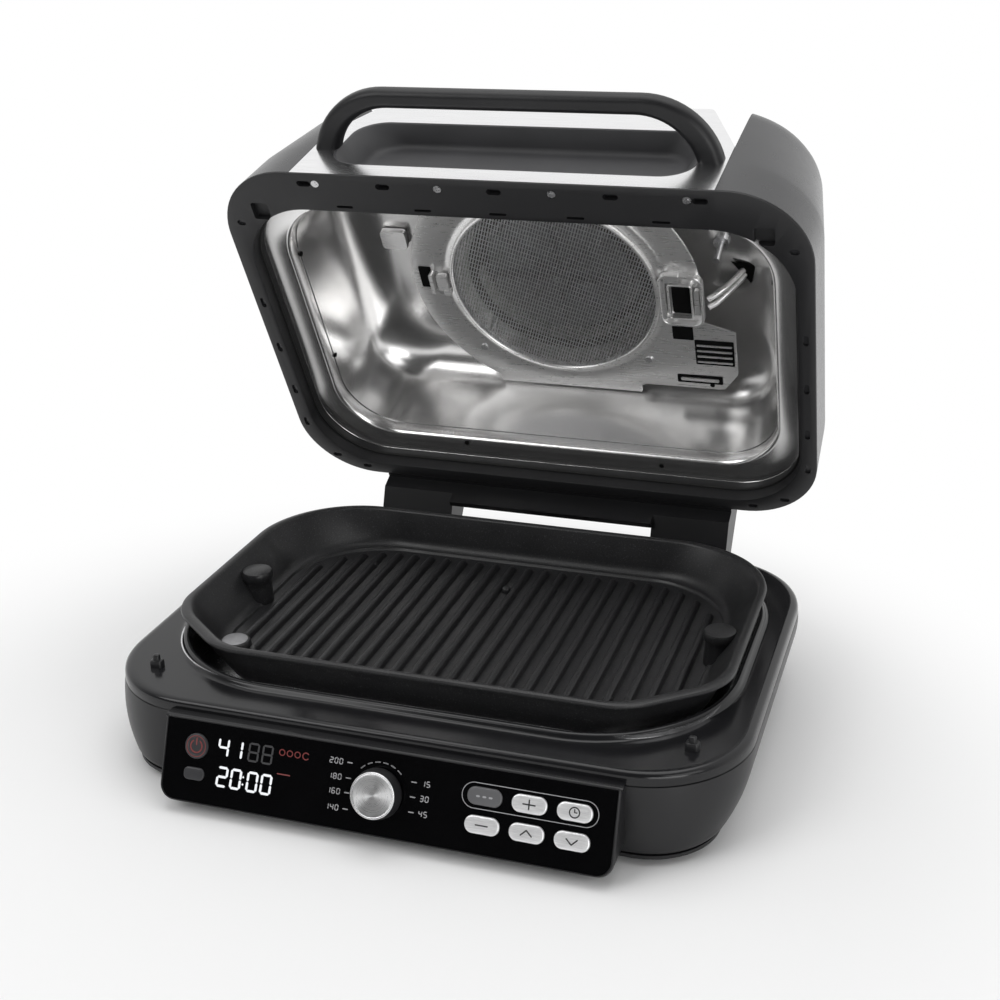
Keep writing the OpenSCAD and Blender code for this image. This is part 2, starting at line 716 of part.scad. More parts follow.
module hinge_brackets() color([0.12, 0.12, 0.12]) in_base() difference() {
    both_sides() {
        for (x = [ear_in_x, ear_out_x]) translate([x + ear_t/2, 0, 0]) along_x(ear_t) ear_profile();
        block([ear_in_x + ear_t/2, ear_out_x + ear_t/2], [base_d/2, base_d/2 + bracket_t], bracket_z);
    }
    at_hinge() rotate([0, 90, 0]) cylinder(d = pin_d + 2*seat_gap, h = big, center = true);
    at_bracket_screws() translate([0, 0, -1]) cylinder(r = screw_r + run_gap, h = bracket_t + 2);
}

module hinge_pins() color("silver") in_base() both_sides() translate([ear_in_x, hinge_y, hinge_z])
    rotate([0, 90, 0]) cylinder(d = pin_d, h = ear_out_x + ear_t - ear_in_x);

module bracket_screws() color("silver") in_base() at_bracket_screws() {
    cylinder(r = screw_r, h = bracket_t + 0.5);
    translate([0, 0, bracket_t]) cylinder(r = 3, h = 1.6);
}

module cup_runners() color([0.12, 0.12, 0.12]) in_base() both_sides()
    block([cup_w/2 + part_gap, ear_in_x - part_gap], [base_d/2, cup_y[1]],
        [cup_z[1] - cup_flange_t - part_gap - runner_h, cup_z[1] - cup_flange_t - part_gap]);

module grease_cup() color([0.14, 0.14, 0.14]) in_base() difference() {
    union() {
        block([-cup_w/2, cup_w/2], cup_y, cup_z);
        block([-cup_flange_w/2, cup_flange_w/2], cup_y, [cup_z[1] - cup_flange_t, cup_z[1]]);
        block([-30, 30], [cup_y[1] - 1, cup_y[1] + 6], [cup_z[1] - cup_flange_t, cup_z[1]]);
    }
    block([-cup_w/2 + cup_wall, cup_w/2 - cup_wall], [cup_y[0] + cup_wall, cup_y[1] - cup_wall],
        [cup_z[0] + cup_wall, cup_z[1] + 1]);
}

// Lid: its outer form drawn in by t
module lid_side(t) {
    h = lid_h - t;
    front = lid_d/2 - t/cos(front_lean);
    rear = lid_d/2 - t/cos(rear_lean);
    front_c = side_round(front, front_lean, h, lid_front_r - t);
    rear_c = side_round(rear, rear_lean, h, lid_rear_r - t);
    polygon(concat([[-front, 0]], arc([-front_c.x, front_c.y], lid_front_r - t, 180 - front_lean, 90),
        arc(rear_c, lid_rear_r - t, 90, rear_lean), [[rear, 0]]));
}

// Reach of a leaning wall with a round top at height u
function wall_at(u, reach, lean, h, r) = let (c = side_round(reach, lean, h, r))
    u < c.y + r*sin(lean) ? reach - tan(lean)*u : c.x + sqrt(max(0, r*r - pow(u - c.y, 2)));

// Outline of the lid at height u: height, width, depth, middle and corner radius
function lid_slice(u, t) = let (
    front = wall_at(u, lid_d/2 - t/cos(front_lean), front_lean, lid_h - t, lid_front_r - t),
    rear = wall_at(u, lid_d/2 - t/cos(rear_lean), rear_lean, lid_h - t, lid_rear_r - t),
    bend = tan(side_lean)*side_break_u,
    side = min(lid_w/2 - t, wall_at(u, lid_w/2 - t + bend, side_lean, lid_h - t, side_r - t)))
    [min(u, lid_h - t - slice_t), 2*side, front + rear, (rear - front)/2,
        lid_corner_r - t + lid_corner_grow*u/lid_h];

lid_turns = [rear_lean, 22, 37, 51, open_angle, 75, 90];

module lid_form(t) loft([for (u = concat([0, side_break_u],
    [for (q = lid_turns) lid_h - lid_rear_r + (lid_rear_r - t)*sin(q)])) lid_slice(u, t)]);

// Hood: a sheet with sloped shoulders above two valleys beside the cheeks
module hood_arch(t) {
    w = hood_w/2 - t;
    c = side_round(w + tan(shoulder_lean)*shoulder_u, shoulder_lean, lid_h - hood_drop - t, hood_arch_r - t);
    half = concat([[w, 0], [w, shoulder_u]], arc(c, hood_arch_r - t, shoulder_lean, 90));
    polygon(concat(half, flipped(half)));
}

module hood_valley(t) {
    y = tan(front_lean)*shoulder_u - lid_d/2 + 2*t;
    u = valley_u - t;
    polygon([[y, shoulder_u - 5], [y, shoulder_u], [y + (u - shoulder_u)/tan(valley_rise), u],
        [hood_back_y, u], [hood_back_y, shoulder_u - 5]]);
}

module hood_form(t) intersection() {
    along_x(2*base_w) lid_side(t);
    union() {
        along_y(2*base_d) hood_arch(t);
        along_x(hood_w - 2*t) hood_valley(t);
    }
}

// Liner drawn out by t: a slab at the mouth, and a narrower room above a ledge over the plate's rim
module liner_form(t, over) {
    slab(mouth_w + 2*t, mouth_d + 2*t, mouth_r + t, rim_h - over, ledge_u + t, mouth_y);
    loft([
        [ledge_u - 1, cavity_w + 2*t, cavity_d + 2*t, cavity_y, cavity_r + t],
        [knee_u, cavity_w - 2*knee_in + 2*t, cavity_d - 2*knee_in + 2*t, cavity_y, cavity_r + t],
        [liner_h - 8, cavity_w - 2*(roof_in_x - roof_turn - t), cavity_d - 2*(roof_in_y - roof_turn - t),
            cavity_y, cavity_r + t],
        [liner_h - liner_t + t - slice_t, cavity_w - 2*(roof_in_x - t), cavity_d - 2*(roof_in_y - t),
            cavity_y, cavity_r + t]]);
}

// Flange of the liner on the rim, drawn out by t
module liner_lip(t) slab(mouth_w + 2*(liner_flange + t), mouth_d + 2*(liner_flange + t),
    mouth_r + liner_flange + t, rim_h - t, rim_h + liner_t + t, mouth_y);

// Slots and recesses in the rim's flat face: [x, distance from the rim's front edge, width, depth]
rim_edge = 9;
front_slot = [9, 5];
inner_slot = [11, 2.5];
side_slot = [4, 8];
front_slots = [for (q = [0, 0.27, 0.468]) [q*hood_w, rim_edge, front_slot.x, front_slot.y]];
inner_slots = [for (q = [0, 0.183, 0.378])
    [q*hood_w, mouth_front_y + lid_d/2 - 2*inner_slot.y, inner_slot.x, inner_slot.y]];
side_slots = [for (q = [0.4, 0.55, 0.7])
    [lid_w/2 - rim_edge + side_slot.x/2, lid_d*q, side_slot.x, side_slot.y]];
recess_depth = 4;

module rim_slots() both_sides() for (q = concat(front_slots, inner_slots, side_slots))
    translate([q[0], -lid_d/2 + q[1], -1])
        linear_extrude(recess_depth + 1) square([q[2], q[3]], center = true);

module at_rim_screws() for (q = [-0.439, -0.135, 0.135, 0.439])
    translate([q*hood_w, -lid_d/2 + rim_edge, 0]) children();

module lid_rim() color([0.1, 0.1, 0.1]) in_lid() difference() {
    intersection() {
        union() {
            slab(2*base_w, 2*base_d, 1, 0, rim_lip);
            lid_form(shell_t + part_gap);
        }
        lid_form(0);
        slab(2*base_w, 2*base_d, 1, 0, rim_h);
    }
    slab(mouth_w, mouth_d, mouth_r, -1, rim_h + 1, mouth_y);
    rim_slots();
    at_rim_screws() {
        translate([0, 0, -1]) cylinder(r = screw_r + run_gap, h = rim_h - 1);
        translate([0, 0, -1]) cylinder(r = 3.2, h = 2.2);
    }
    both_sides() translate([peg_x, peg_y, -1]) linear_extrude(peg_size.z - lid_gap + 3)
        square([peg_size.x + 4, peg_size.y + 4], center = true);
    on_hood() translate([0, 0, -pocket_depth - part_gap])
        linear_extrude(pocket_depth) pocket_shape(-part_gap);
}

module rim_screws() color("silver") in_lid() at_rim_screws() {
    cylinder(r = screw_r, h = rim_h - 3);
    translate([0, 0, 0.2]) cylinder(r = 3, h = 1);
}

vent_u = [70, 108];

module lid_shell() color([0.22, 0.22, 0.23]) in_lid() difference() {
    union() {
        difference() {
            lid_form(0);
            lid_form(shell_t);
            block([-cheek_x, cheek_x], [-lid_d, hood_back_y], [-1, lid_h + 1]);
        }
        difference() {
            intersection() {
                lid_form(0);
                union() {
                    both_sides()
                        block([cheek_x, cheek_x + shell_t], [-lid_d, hood_back_y + shell_t], [0, lid_h]);
                    block([-cheek_x - 1, cheek_x + 1], [hood_back_y, hood_back_y + shell_t], [0, lid_h]);
                }
            }
            liner_form(liner_t + 2, 20);
            liner_lip(part_gap);
        }
    }
    block([-base_w, base_w], [-base_d, base_d], [-1, rim_lip]);
    intersection() {
        lid_form(shell_t);
        slab(2*base_w, 2*base_d, 1, -1, rim_h);
    }
    for (i = [-9 : 9]) translate([9*i, lid_d/2, (vent_u[0] + vent_u[1])/2])
        cube([4, 60, vent_u[1] - vent_u[0]], center = true);
}

pocket_low = rim_h + 9;
pocket_v = pocket_low + pocket_h/2;
pocket_wall = 2;

module pocket_shape(d) translate([0, pocket_v]) rounded(pocket_w - 2*d, pocket_h - 2*d, pocket_r - d);

module lid_hood() color([0.85, 0.85, 0.86]) in_lid() difference() {
    hood_form(0);
    hood_form(hood_t);
    block([-base_w, base_w], [hood_back_y - part_gap, base_d], [-1, lid_h + 1]);
    block([-base_w, base_w], [-base_d, base_d], [-1, rim_lip]);
    intersection() {
        lid_form(shell_t);
        slab(2*base_w, 2*base_d, 1, -1, rim_h);
    }
    liner_form(liner_t + 2, 20);
    liner_lip(part_gap);
    on_hood() translate([0, 0, -2*hood_t]) linear_extrude(4*hood_t) pocket_shape(-part_gap);
}

module handle_pocket() color([0.2, 0.2, 0.21]) in_lid() on_hood() difference() {
    translate([0, 0, -pocket_depth]) linear_extrude(pocket_depth) pocket_shape(0);
    translate([0, 0, pocket_wall - pocket_depth]) linear_extrude(pocket_depth) pocket_shape(pocket_wall);
}

module lid_liner() color([0.7, 0.7, 0.72]) in_lid() difference() {
    union() {
        liner_form(liner_t, 0);
        liner_lip(0);
    }
    liner_form(0, 1);
    translate([0, fan_y, liner_h - 5]) cylinder(r = shaft_d, h = 10);
    for (s = [-1, 1]) translate([s*lead_x, fan_y, liner_h - 5]) cylinder(r = element_tube_r + 1, h = 10);
}

module lid_seal() color([0.05, 0.05, 0.05]) in_lid() difference() {
    slab(mouth_w - 2*seat_gap, mouth_d - 2*seat_gap, mouth_r - seat_gap, rim_h - seal_h, rim_h, mouth_y);
    slab(mouth_w - 2*seal_w, mouth_d - 2*seal_w, mouth_r - seal_w, rim_h - seal_h - 1, rim_h + 1, mouth_y);
}

// Handle: a U that stands square on the hood's face, tapered from its feet to its bar
handle_v = pocket_v - 9;
handle_sink = 13;

module handle_plan(w, top, r) {
    translate([-w/2, -40]) square([w, 40 - handle_sink]);
    translate([-w/2 + r, -40]) square([w - 2*r, 40 + top]);
    for (s = [-1, 1]) translate([s*(w/2 - r), top - r]) circle(r);
}

module handle() color([0.12, 0.12, 0.12]) in_lid() difference() {
    on_hood() translate([0, handle_v, 0]) intersection() {
        along_y(lid_h) difference() {
            handle_plan(handle_w, handle_reach, handle_r);
            handle_plan(handle_w - 2*handle_leg_t, handle_reach - handle_t, handle_r - handle_t);
        }
        along_x(base_w) polygon([[-handle_foot_h/2, -2*hood_t], [handle_foot_h/2, -2*hood_t],
            [handle_bar_h/2, handle_reach], [-handle_bar_h/2, handle_reach]]);
    }
    lid_form(0);
}

// Hinge arms with a bridge between them, cut to sit on the lid's rear
arm_rise = 46;
arm_top = 12;

module arm_profile() {
    polygon([[hinge_y - barrel_r, hinge_z], [base_d/2 + arm_clear, rim_z - 12], [base_d/2 + arm_clear, rim_z],
        [base_d/2 - bridge_in, rim_z], [base_d/2 - bridge_in, rim_z + arm_rise],
        [base_d/2 + arm_top, rim_z + arm_rise],
        [hinge_y + barrel_r, hinge_z]]);
    translate([hinge_y, hinge_z]) circle(barrel_r);
}

module bridge_profile() polygon([[base_d/2 + arm_clear, rim_z - skirt_drop], [base_d/2 + arm_clear, rim_z],
    [base_d/2 - bridge_in, rim_z], [base_d/2 - bridge_in, rim_z + bridge_rise],
    [base_d/2 + arm_clear + skirt_t, rim_z + bridge_rise],
    [base_d/2 + arm_clear + skirt_t, rim_z - skirt_drop]]);

bush_r = pin_d/2 + bush_wall;

module hinge_arms() color([0.1, 0.1, 0.1]) in_lid() difference() {
    translate([0, 0, -rim_z]) {
        both_sides() translate([arm_x + arm_w/2, 0, 0]) along_x(arm_w) arm_profile();
        along_x(2*arm_x + 1) bridge_profile();
    }
    lid_form(0);
    translate([0, hinge_y, hinge_z - rim_z]) rotate([0, 90, 0])
        cylinder(r = bush_r + seat_gap, h = big, center = true);
}

module hinge_bushes() color([0.7, 0.6, 0.3]) in_lid() both_sides()
    translate([arm_x, hinge_y, hinge_z - rim_z]) rotate([0, 90, 0]) difference() {
        cylinder(r = bush_r, h = arm_w);
        translate([0, 0, -1]) cylinder(d = pin_d + 2*run_gap, h = arm_w + 2);
    }

// Fan guard, splatter shield and what carries them
post_at = [for (a = [45, 135, 225, 315]) (shield_r + guard_w/2 + 2)*[cos(a), sin(a)]];
post_r = 4;

module at_posts() for (p = post_at) translate(p) children();

module fan_guard() color([0.8, 0.8, 0.8]) at_fan(guard_u) difference() {
    linear_extrude(guard_t) difference() {
        union() {
            circle(guard_r);
            translate([-tab_w/2, 0]) square([tab_w, tab_reach]);
        }
        circle(guard_hole_r);
    }
    at_posts() translate([0, 0, -1]) cylinder(r = screw_r + run_gap, h = guard_t + 2);
}

module guard_posts() color([0.6, 0.6, 0.6]) at_fan(guard_u + guard_t) at_posts() difference() {
    cylinder(r = post_r, h = liner_h - liner_t - guard_u - guard_t - slice_t);
    translate([0, 0, -1]) cylinder(r = screw_r + run_gap, h = 9);
}

module guard_screws() color("silver") at_fan(guard_u) at_posts() {
    translate([0, 0, -1.8]) cylinder(r = 3, h = 1.8);
    translate([0, 0, -1]) cylinder(r = screw_r, h = 8);
}

clip_size = [guard_w - 4, 34, 8];
clip_slot = [9, 18, 7];
clip_wall = 6;

module shield_clips() color([0.5, 0.5, 0.5]) at_fan(guard_u) both_sides() difference() {
    translate([shield_r + part_gap, -clip_size.y/2, -clip_size.z]) cube(clip_size);
    translate([shield_r + clip_wall, -clip_slot.y/2, -clip_size.z - 1]) cube(clip_slot);
    cylinder(r = shield_r + part_gap, h = 4*clip_size.z, center = true);
}

shield_u = guard_u - part_gap - shield_h;

module shield_ring() color([0.75, 0.75, 0.76]) at_fan(shield_u) difference() {
    cylinder(r = shield_r, h = shield_h);
    translate([0, 0, -1]) cylinder(r = shield_r - shield_ring_w, h = shield_h + 2);
}

wire_count = 2*floor((shield_r - shield_ring_w - 1)/wire_pitch) + 1;

module shield_mesh() color([0.4, 0.4, 0.42]) at_fan(shield_u + 1.5) linear_extrude(1) intersection() {
    circle(shield_r - shield_ring_w - seat_gap);
    rotate(60) union() {
        for (i = [0 : wire_count - 1]) translate([0, (i - (wire_count - 1)/2)*wire_pitch])
            square([2*shield_r, wire_w], center = true);
        for (x = [-60, -20, 20, 60]) translate([x, 0]) square([wire_w, 2*shield_r], center = true);
    }
}

lead_x = element_r;

module upper_element() color([0.25, 0.24, 0.24]) at_fan(element_u) {
    rotate_extrude() translate([element_r, 0]) circle(element_tube_r);
    for (s = [-1, 1]) translate([s*lead_x, 0, 0]) cylinder(r = element_tube_r, h = liner_h + 6 - element_u);
}

hub_r = 9;
blade_count = 8;

module fan_wheel(r, disc_t, blade_h, blades) difference() {
    union() {
        cylinder(r = r, h = disc_t);
        translate([0, 0, -blade_h]) cylinder(r = hub_r, h = blade_h + disc_t);
        for (i = [0 : blades - 1]) rotate([0, 0, i*360/blades]) translate([hub_r - 1, -0.6, -blade_h])
            cube([r - hub_r - 1, 1.2, blade_h + disc_t/2]);
    }
    translate([0, 0, -blade_h - 1]) cylinder(d = shaft_d + 2*seat_gap, h = blade_h + disc_t + 2);
}

module convection_fan() color([0.7, 0.7, 0.72]) at_fan(fan_disc_u)
    fan_wheel(fan_r, 1.2, fan_blade_h, blade_count);

module cooling_fan() color([0.3, 0.3, 0.3]) at_fan(liner_h + plate_sheet + bracket_gap - 4)
    fan_wheel(fan_r*0.6, 1.2, bracket_gap/2, blade_count + 2);

module fan_shaft() color("silver") at_fan(fan_disc_u - fan_blade_h)
    cylinder(d = shaft_d, h = motor_u + motor_h - fan_disc_u + fan_blade_h);

module fan_motor() color([0.45, 0.45, 0.46]) at_fan(motor_u) difference() {
    union() {
        cylinder(r = motor_r, h = motor_h - 4);
        cylinder(r = 12, h = motor_h);
    }
    translate([0, 0, -1]) cylinder(d = shaft_d + 2*run_gap, h = motor_h + 2);
}

module motor_bracket() color([0.6, 0.6, 0.6]) at_fan(liner_h) difference() {
    union() {
        for (u = [0, bracket_gap + plate_sheet]) translate([0, 0, u])
            linear_extrude(plate_sheet) square(bracket_size, center = true);
        for (sx = [-1, 1], sy = [-1, 1]) translate([sx*(bracket_size.x/2 - 6), sy*(bracket_size.y/2 - 6), 1])
            cylinder(r = 4, h = bracket_gap + plate_sheet);
    }
    translate([0, 0, -1]) cylinder(r = shaft_d + 2, h = 60);
}

sensor_x = cavity_w/2 - roof_in_x - 20;

module lid_sensor() color("silver") in_lid()
    translate([sensor_x, mouth_y - 40, liner_h - liner_t - slice_t]) rotate([180, 0, 0]) {
    cylinder(r = 6, h = 3);
    cylinder(r = 2.5, h = 24);
}

base_housing();
base_deck();
bottom_cover();
rubber_feet();
cover_screws();
deck_pegs();
well_liner();
plate_rests();
lower_element();
element_clips();
plate_sensor();
grill_plate();
console_frame();
fascia();
display_module();
control_board();
encoder_body();
encoder_shaft();
dial_knob();
dial_cap();
power_button();
side_button();
key_1();
key_2();
key_3();
key_4();
key_5();
key_6();
power_board();
cord_gland();
hinge_brackets();
hinge_pins();
bracket_screws();
cup_runners();
grease_cup();
lid_rim();
rim_screws();
lid_shell();
lid_hood();
lid_liner();
lid_seal();
handle();
handle_pocket();
hinge_arms();
hinge_bushes();
fan_guard();
guard_posts();
guard_screws();
shield_clips();
shield_ring();
shield_mesh();
upper_element();
convection_fan();
cooling_fan();
fan_shaft();
fan_motor();
motor_bracket();
lid_sensor();
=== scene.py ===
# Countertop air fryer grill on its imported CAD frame: pieces, materials, light and camera.
# Sizes are millimetres. The base frame has the deck's middle at x = y = 0, and the lid frame is
# (x, y, height above the rim plane) with the lid closed.

import json
from math import cos, pi, radians, sin, sqrt, tan

import bmesh
import bpy
from mathutils import Matrix, Vector


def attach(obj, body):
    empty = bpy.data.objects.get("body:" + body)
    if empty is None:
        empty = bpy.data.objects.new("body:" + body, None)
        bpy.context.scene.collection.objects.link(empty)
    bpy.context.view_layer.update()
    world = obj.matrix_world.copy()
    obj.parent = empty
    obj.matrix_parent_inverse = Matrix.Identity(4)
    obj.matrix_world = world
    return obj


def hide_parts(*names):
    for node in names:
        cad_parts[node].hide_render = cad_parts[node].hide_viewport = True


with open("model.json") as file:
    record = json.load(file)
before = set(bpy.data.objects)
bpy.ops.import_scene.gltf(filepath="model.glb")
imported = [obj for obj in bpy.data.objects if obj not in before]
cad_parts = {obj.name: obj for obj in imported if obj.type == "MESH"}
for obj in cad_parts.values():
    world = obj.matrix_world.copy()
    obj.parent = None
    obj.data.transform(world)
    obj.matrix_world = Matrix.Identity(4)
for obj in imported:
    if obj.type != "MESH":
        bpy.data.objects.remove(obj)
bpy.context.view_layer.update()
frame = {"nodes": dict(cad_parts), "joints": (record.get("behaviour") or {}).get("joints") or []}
nodes = frame["nodes"]
joints = {joint["name"]: joint for joint in frame["joints"]}
MM = 0.001

# Sizes shared with the CAD model
base_w, base_d = 450, 324
deck_z, housing_top, ground_gap, housing_taper = 67, 58, 8, 16
plate_w, plate_d, plate_y, plate_r = 408, 262, 11.6, 77
rim_top, floor_z, ridge_pitch, ridge_h = 87, 54, 14, 4.5
well_w, well_d, well_y = 402, 280, 9.6
panel_w, panel_h, panel_lean = 309, 54, 23.5
dial_v, button_x, power_v, side_button_v = 27, -132, 17, 35.5
keys_x, key_pitch_x, key_pitch_v = 99.7, 29.2, 18
peg_x, peg_y = 190, -123
lid_w, lid_d, lid_h, lid_r, lid_r_grow = 444, 324, 160, 60, 6
front_lean, front_r, rear_lean, rear_r = 13.5, 35, 6, 45
side_break, side_lean, side_r = 45, 9, 40
rim_h, rim_z = 12, 72
mouth_w, mouth_d, mouth_y, mouth_r = 418, 278, 10.6, 58
cavity_w, cavity_d, cavity_y, cavity_r = 378, 245, 7.1, 50
hood_w = 312
hinge_y, hinge_z = 199, 38.5
fan_y, guard_u, hole_r = 7, 84, 84
handle_v, handle_reach, handle_r = 51, 46, 59
handle_t, handle_leg_t, handle_foot_h, handle_bar_h = 14, 18, 17, 14
pocket_v, pocket_w, pocket_h, pocket_r = 60, 270, 78, 24

# Other sizes of the scene
base_r, base_r_fall, well_r = 72, 24, 98
panel_y, panel_z, panel_r, console_edge = -169.6, 59.5, 9.5, 2
corner_r, corner_back, corner_in = 48, 70, 75
ridge_count, ridge_side, ridge_end = 24, 35, 22
boss_x, boss_y, pad_x, pad_y, nub_x = 181, 14, 162, -62, 119
hood_back, recess_x, recess_y = 62, 188.5, -125.5
guard_r, guard_flat, tab_half = 122, 112, 63
bracket_x, bracket_y, bracket_reach = 146, 102, 168
wire_reach = 85
handle_half = 96

# Frames
hinge = Vector(joints["lid_hinge"]["pos_m"])
open_angle = radians(max(abs(a) for a in joints["lid_hinge"]["range_deg"]))
BASE = Matrix.Translation((0, hinge.y - hinge_y * MM, 0))
LID = (
    Matrix.Translation(hinge)
    @ Matrix.Rotation(-open_angle, 4, "X")
    @ Matrix.Translation((0, -hinge_y * MM, (rim_z - hinge_z) * MM))
)
panel_tilt = radians(90 - panel_lean)
PANEL = BASE @ Matrix.Translation((0, panel_y * MM, panel_z * MM)) @ Matrix.Rotation(panel_tilt, 4, "X")
HOOD = LID @ Matrix.Translation((0, -lid_d / 2 * MM, 0)) @ Matrix.Rotation(radians(90 - front_lean), 4, "X")
FAN = LID @ Matrix.Translation((0, fan_y * MM, 0))


# Shapes, each a pair of points and faces
def rrect(w, d, r, x=0.0, y=0.0, n=12):
    """Outline of a rectangle with round corners, anticlockwise."""
    r = max(min(r, w / 2 - 0.001, d / 2 - 0.001), 0.001)
    corners = ((1, 1, 0), (-1, 1, 90), (-1, -1, 180), (1, -1, 270))
    outline = []
    for sx, sy, start in corners:
        for i in range(n + 1):
            a = radians(start + 90 * i / n)
            outline.append((x + sx * (w / 2 - r) + r * cos(a), y + sy * (d / 2 - r) + r * sin(a)))
    return outline


def level(outline, z):
    """Ring of an outline at a height."""
    return [(x, y, z) for x, y in outline]


def between(a, b, t):
    """Ring that lies the part t of the way from ring a to ring b."""
    return [tuple(p + (q - p) * t for p, q in zip(u, v)) for u, v in zip(a, b)]


def loft(rings, caps=(True, True)):
    """Skin over rings of the same number of points."""
    n = len(rings[0])
    points = [p for ring in rings for p in ring]
    faces = []
    for i in range(len(rings) - 1):
        for j in range(n):
            k = (j + 1) % n
            faces.append((i * n + j, i * n + k, (i + 1) * n + k, (i + 1) * n + j))
    if caps[0]:
        faces.append(tuple(range(n - 1, -1, -1)))
    if caps[1]:
        faces.append(tuple(range(len(points) - n, len(points))))
    return points, faces


def join(*shapes):
    points = []
    faces = []
    for shape in shapes:
        start = len(points)
        points += shape[0]
        faces += [tuple(start + i for i in face) for face in shape[1]]
    return points, faces


def moved(shape, x=0.0, y=0.0, z=0.0):
    return [(a + x, b + y, c + z) for a, b, c in shape[0]], shape[1]


def placed(shape, matrix):
    return [tuple(matrix @ Vector(p)) for p in shape[0]], shape[1]


def lathe(profile, n):
    """Profile of (radius, height) turned about Z."""
    turns = [2 * pi * i / n for i in range(n)]
    return loft([[(r * cos(a), r * sin(a), z) for a in turns] for r, z in profile], (False, False))


def tube(path, r, n):
    """Round bar along an open path, with closed ends."""
    path = [Vector(p) for p in path]
    rings = []
    for i, p in enumerate(path):
        along = (path[min(i + 1, len(path) - 1)] - path[max(i - 1, 0)]).normalized()
        side = along.cross(Vector((0, 0, 1))).normalized()
        rise = side.cross(along)
        turns = [2 * pi * k / n for k in range(n)]
        rings.append([tuple(p + side * r * cos(a) + rise * r * sin(a)) for a in turns])
    return loft(rings)


def block(w, d, h, x=0.0, y=0.0, z=0.0, soft=0.6, r=None):
    """Block with rounded upright and upper edges, its bottom middle at x, y, z."""
    r = soft * 2 if r is None else r
    steps = [(0, 0), (h - soft, 0), (h - soft * 0.3, soft * 0.3), (h, soft)]
    return loft([level(rrect(w - 2 * i, d - 2 * i, r, x, y, 5), z + u) for u, i in steps])


def polygon_plate(outline, z0, z1):
    """Outline between two heights."""
    return loft([level(outline, z0), level(outline, z1)])


# Pieces
piece_sharp, cutter_sharp, bevel_sharp = 35, 30, 30


def smooth(mesh, sharp):
    """Smooth shading, with edges sharper than an angle in degrees left sharp."""
    mesh.polygons.foreach_set("use_smooth", [True] * len(mesh.polygons))
    mesh.set_sharp_from_angle(angle=radians(sharp))


def make(name, shape, place, sharp):
    """Mesh object of a shape that is given in millimetres of a frame."""
    points, faces = shape
    mesh = bpy.data.meshes.new(name)
    mesh.from_pydata([place @ (Vector(p) * MM) for p in points], [], faces)
    skin = bmesh.new()
    skin.from_mesh(mesh)
    bmesh.ops.remove_doubles(skin, verts=skin.verts, dist=1e-6)
    bmesh.ops.recalc_face_normals(skin, faces=skin.faces)
    skin.to_mesh(mesh)
    skin.free()
    smooth(mesh, sharp)
    obj = bpy.data.objects.new(name, mesh)
    bpy.context.scene.collection.objects.link(obj)
    return obj


def piece(name, body, place, shape, material, node=None, sharp=piece_sharp):
    """One mesh piece that rides on a body, and stands for a CAD node if it names one."""
    obj = make(name, shape, place, sharp)
    obj.data.materials.append(material)
    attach(obj, body)
    if node:
        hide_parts(node)
    return obj


def cut(obj, shape, place):
    """Takes a shape out of a piece."""
    tool = make("cutter", shape, place, cutter_sharp)
    change = obj.modifiers.new("cut", "BOOLEAN")
    change.operation = "DIFFERENCE"
    change.solver = "EXACT"
    change.object = tool
    bpy.context.view_layer.update()
    graph = bpy.context.evaluated_depsgraph_get()
    mesh = bpy.data.meshes.new_from_object(obj.evaluated_get(graph))
    obj.modifiers.clear()
    old = obj.data
    obj.data = mesh
    bpy.data.meshes.remove(old)
    bpy.data.meshes.remove(tool.data)
    smooth(mesh, piece_sharp)


def dress(material, *names, bevel=0.0):
    """Gives CAD nodes their material, and softened edges where a width is given."""
    for name in names:
        obj = nodes[name]
        obj.data.materials.clear()
        obj.data.materials.append(material)
        if bevel:
            edge = obj.modifiers.new("edge", "BEVEL")
            edge.width = bevel * MM
            edge.segments = 2
            edge.limit_method = "ANGLE"
            edge.angle_limit = radians(bevel_sharp)
            edge.harden_normals = True


# Materials
def shader(name, values):
    material = bpy.data.materials.new(name)
    material.use_nodes = True
    main = material.node_tree.nodes["Principled BSDF"]
    for socket, value in values.items():
        main.inputs[socket].default_value = value
    return material, main


def noise(material, scale, stretch=(1, 1, 1), detail=3.0, tilt=0.0, rough=0.5):
    """Noise in the piece's own place, stretched along the axes of a frame that is tilted about X."""
    tree = material.node_tree
    where = tree.nodes.new("ShaderNodeTexCoord")
    fit = tree.nodes.new("ShaderNodeMapping")
    fit.vector_type = "TEXTURE"
    fit.inputs["Scale"].default_value = [1 / s for s in stretch]
    fit.inputs["Rotation"].default_value = (tilt, 0, 0)
    grain = tree.nodes.new("ShaderNodeTexNoise")
    grain.inputs["Scale"].default_value = scale
    grain.inputs["Detail"].default_value = detail
    grain.inputs["Roughness"].default_value = rough
    tree.links.new(where.outputs["Object"], fit.inputs["Vector"])
    tree.links.new(fit.outputs["Vector"], grain.inputs["Vector"])
    return grain.outputs["Fac"]


def ramp(material, fac, stops, target):
    """Colours a socket by a factor, through stops of (place, colour)."""
    tree = material.node_tree
    node = tree.nodes.new("ShaderNodeValToRGB")
    while len(node.color_ramp.elements) < len(stops):
        node.color_ramp.elements.new(0.5)
    for element, (at, colour) in zip(node.color_ramp.elements, stops):
        element.position = at
        element.color = (*colour, 1)
    tree.links.new(fac, node.inputs["Fac"])
    tree.links.new(node.outputs["Color"], target)


def spread(material, fac, low, high, target):
    """Drives a socket between two values by a noise factor, whose useful range is 0.3 to 0.7."""
    tree = material.node_tree
    node = tree.nodes.new("ShaderNodeMapRange")
    node.inputs["From Min"].default_value = 0.3
    node.inputs["From Max"].default_value = 0.7
    node.inputs["To Min"].default_value = low
    node.inputs["To Max"].default_value = high
    tree.links.new(fac, node.inputs["Value"])
    tree.links.new(node.outputs["Result"], target)


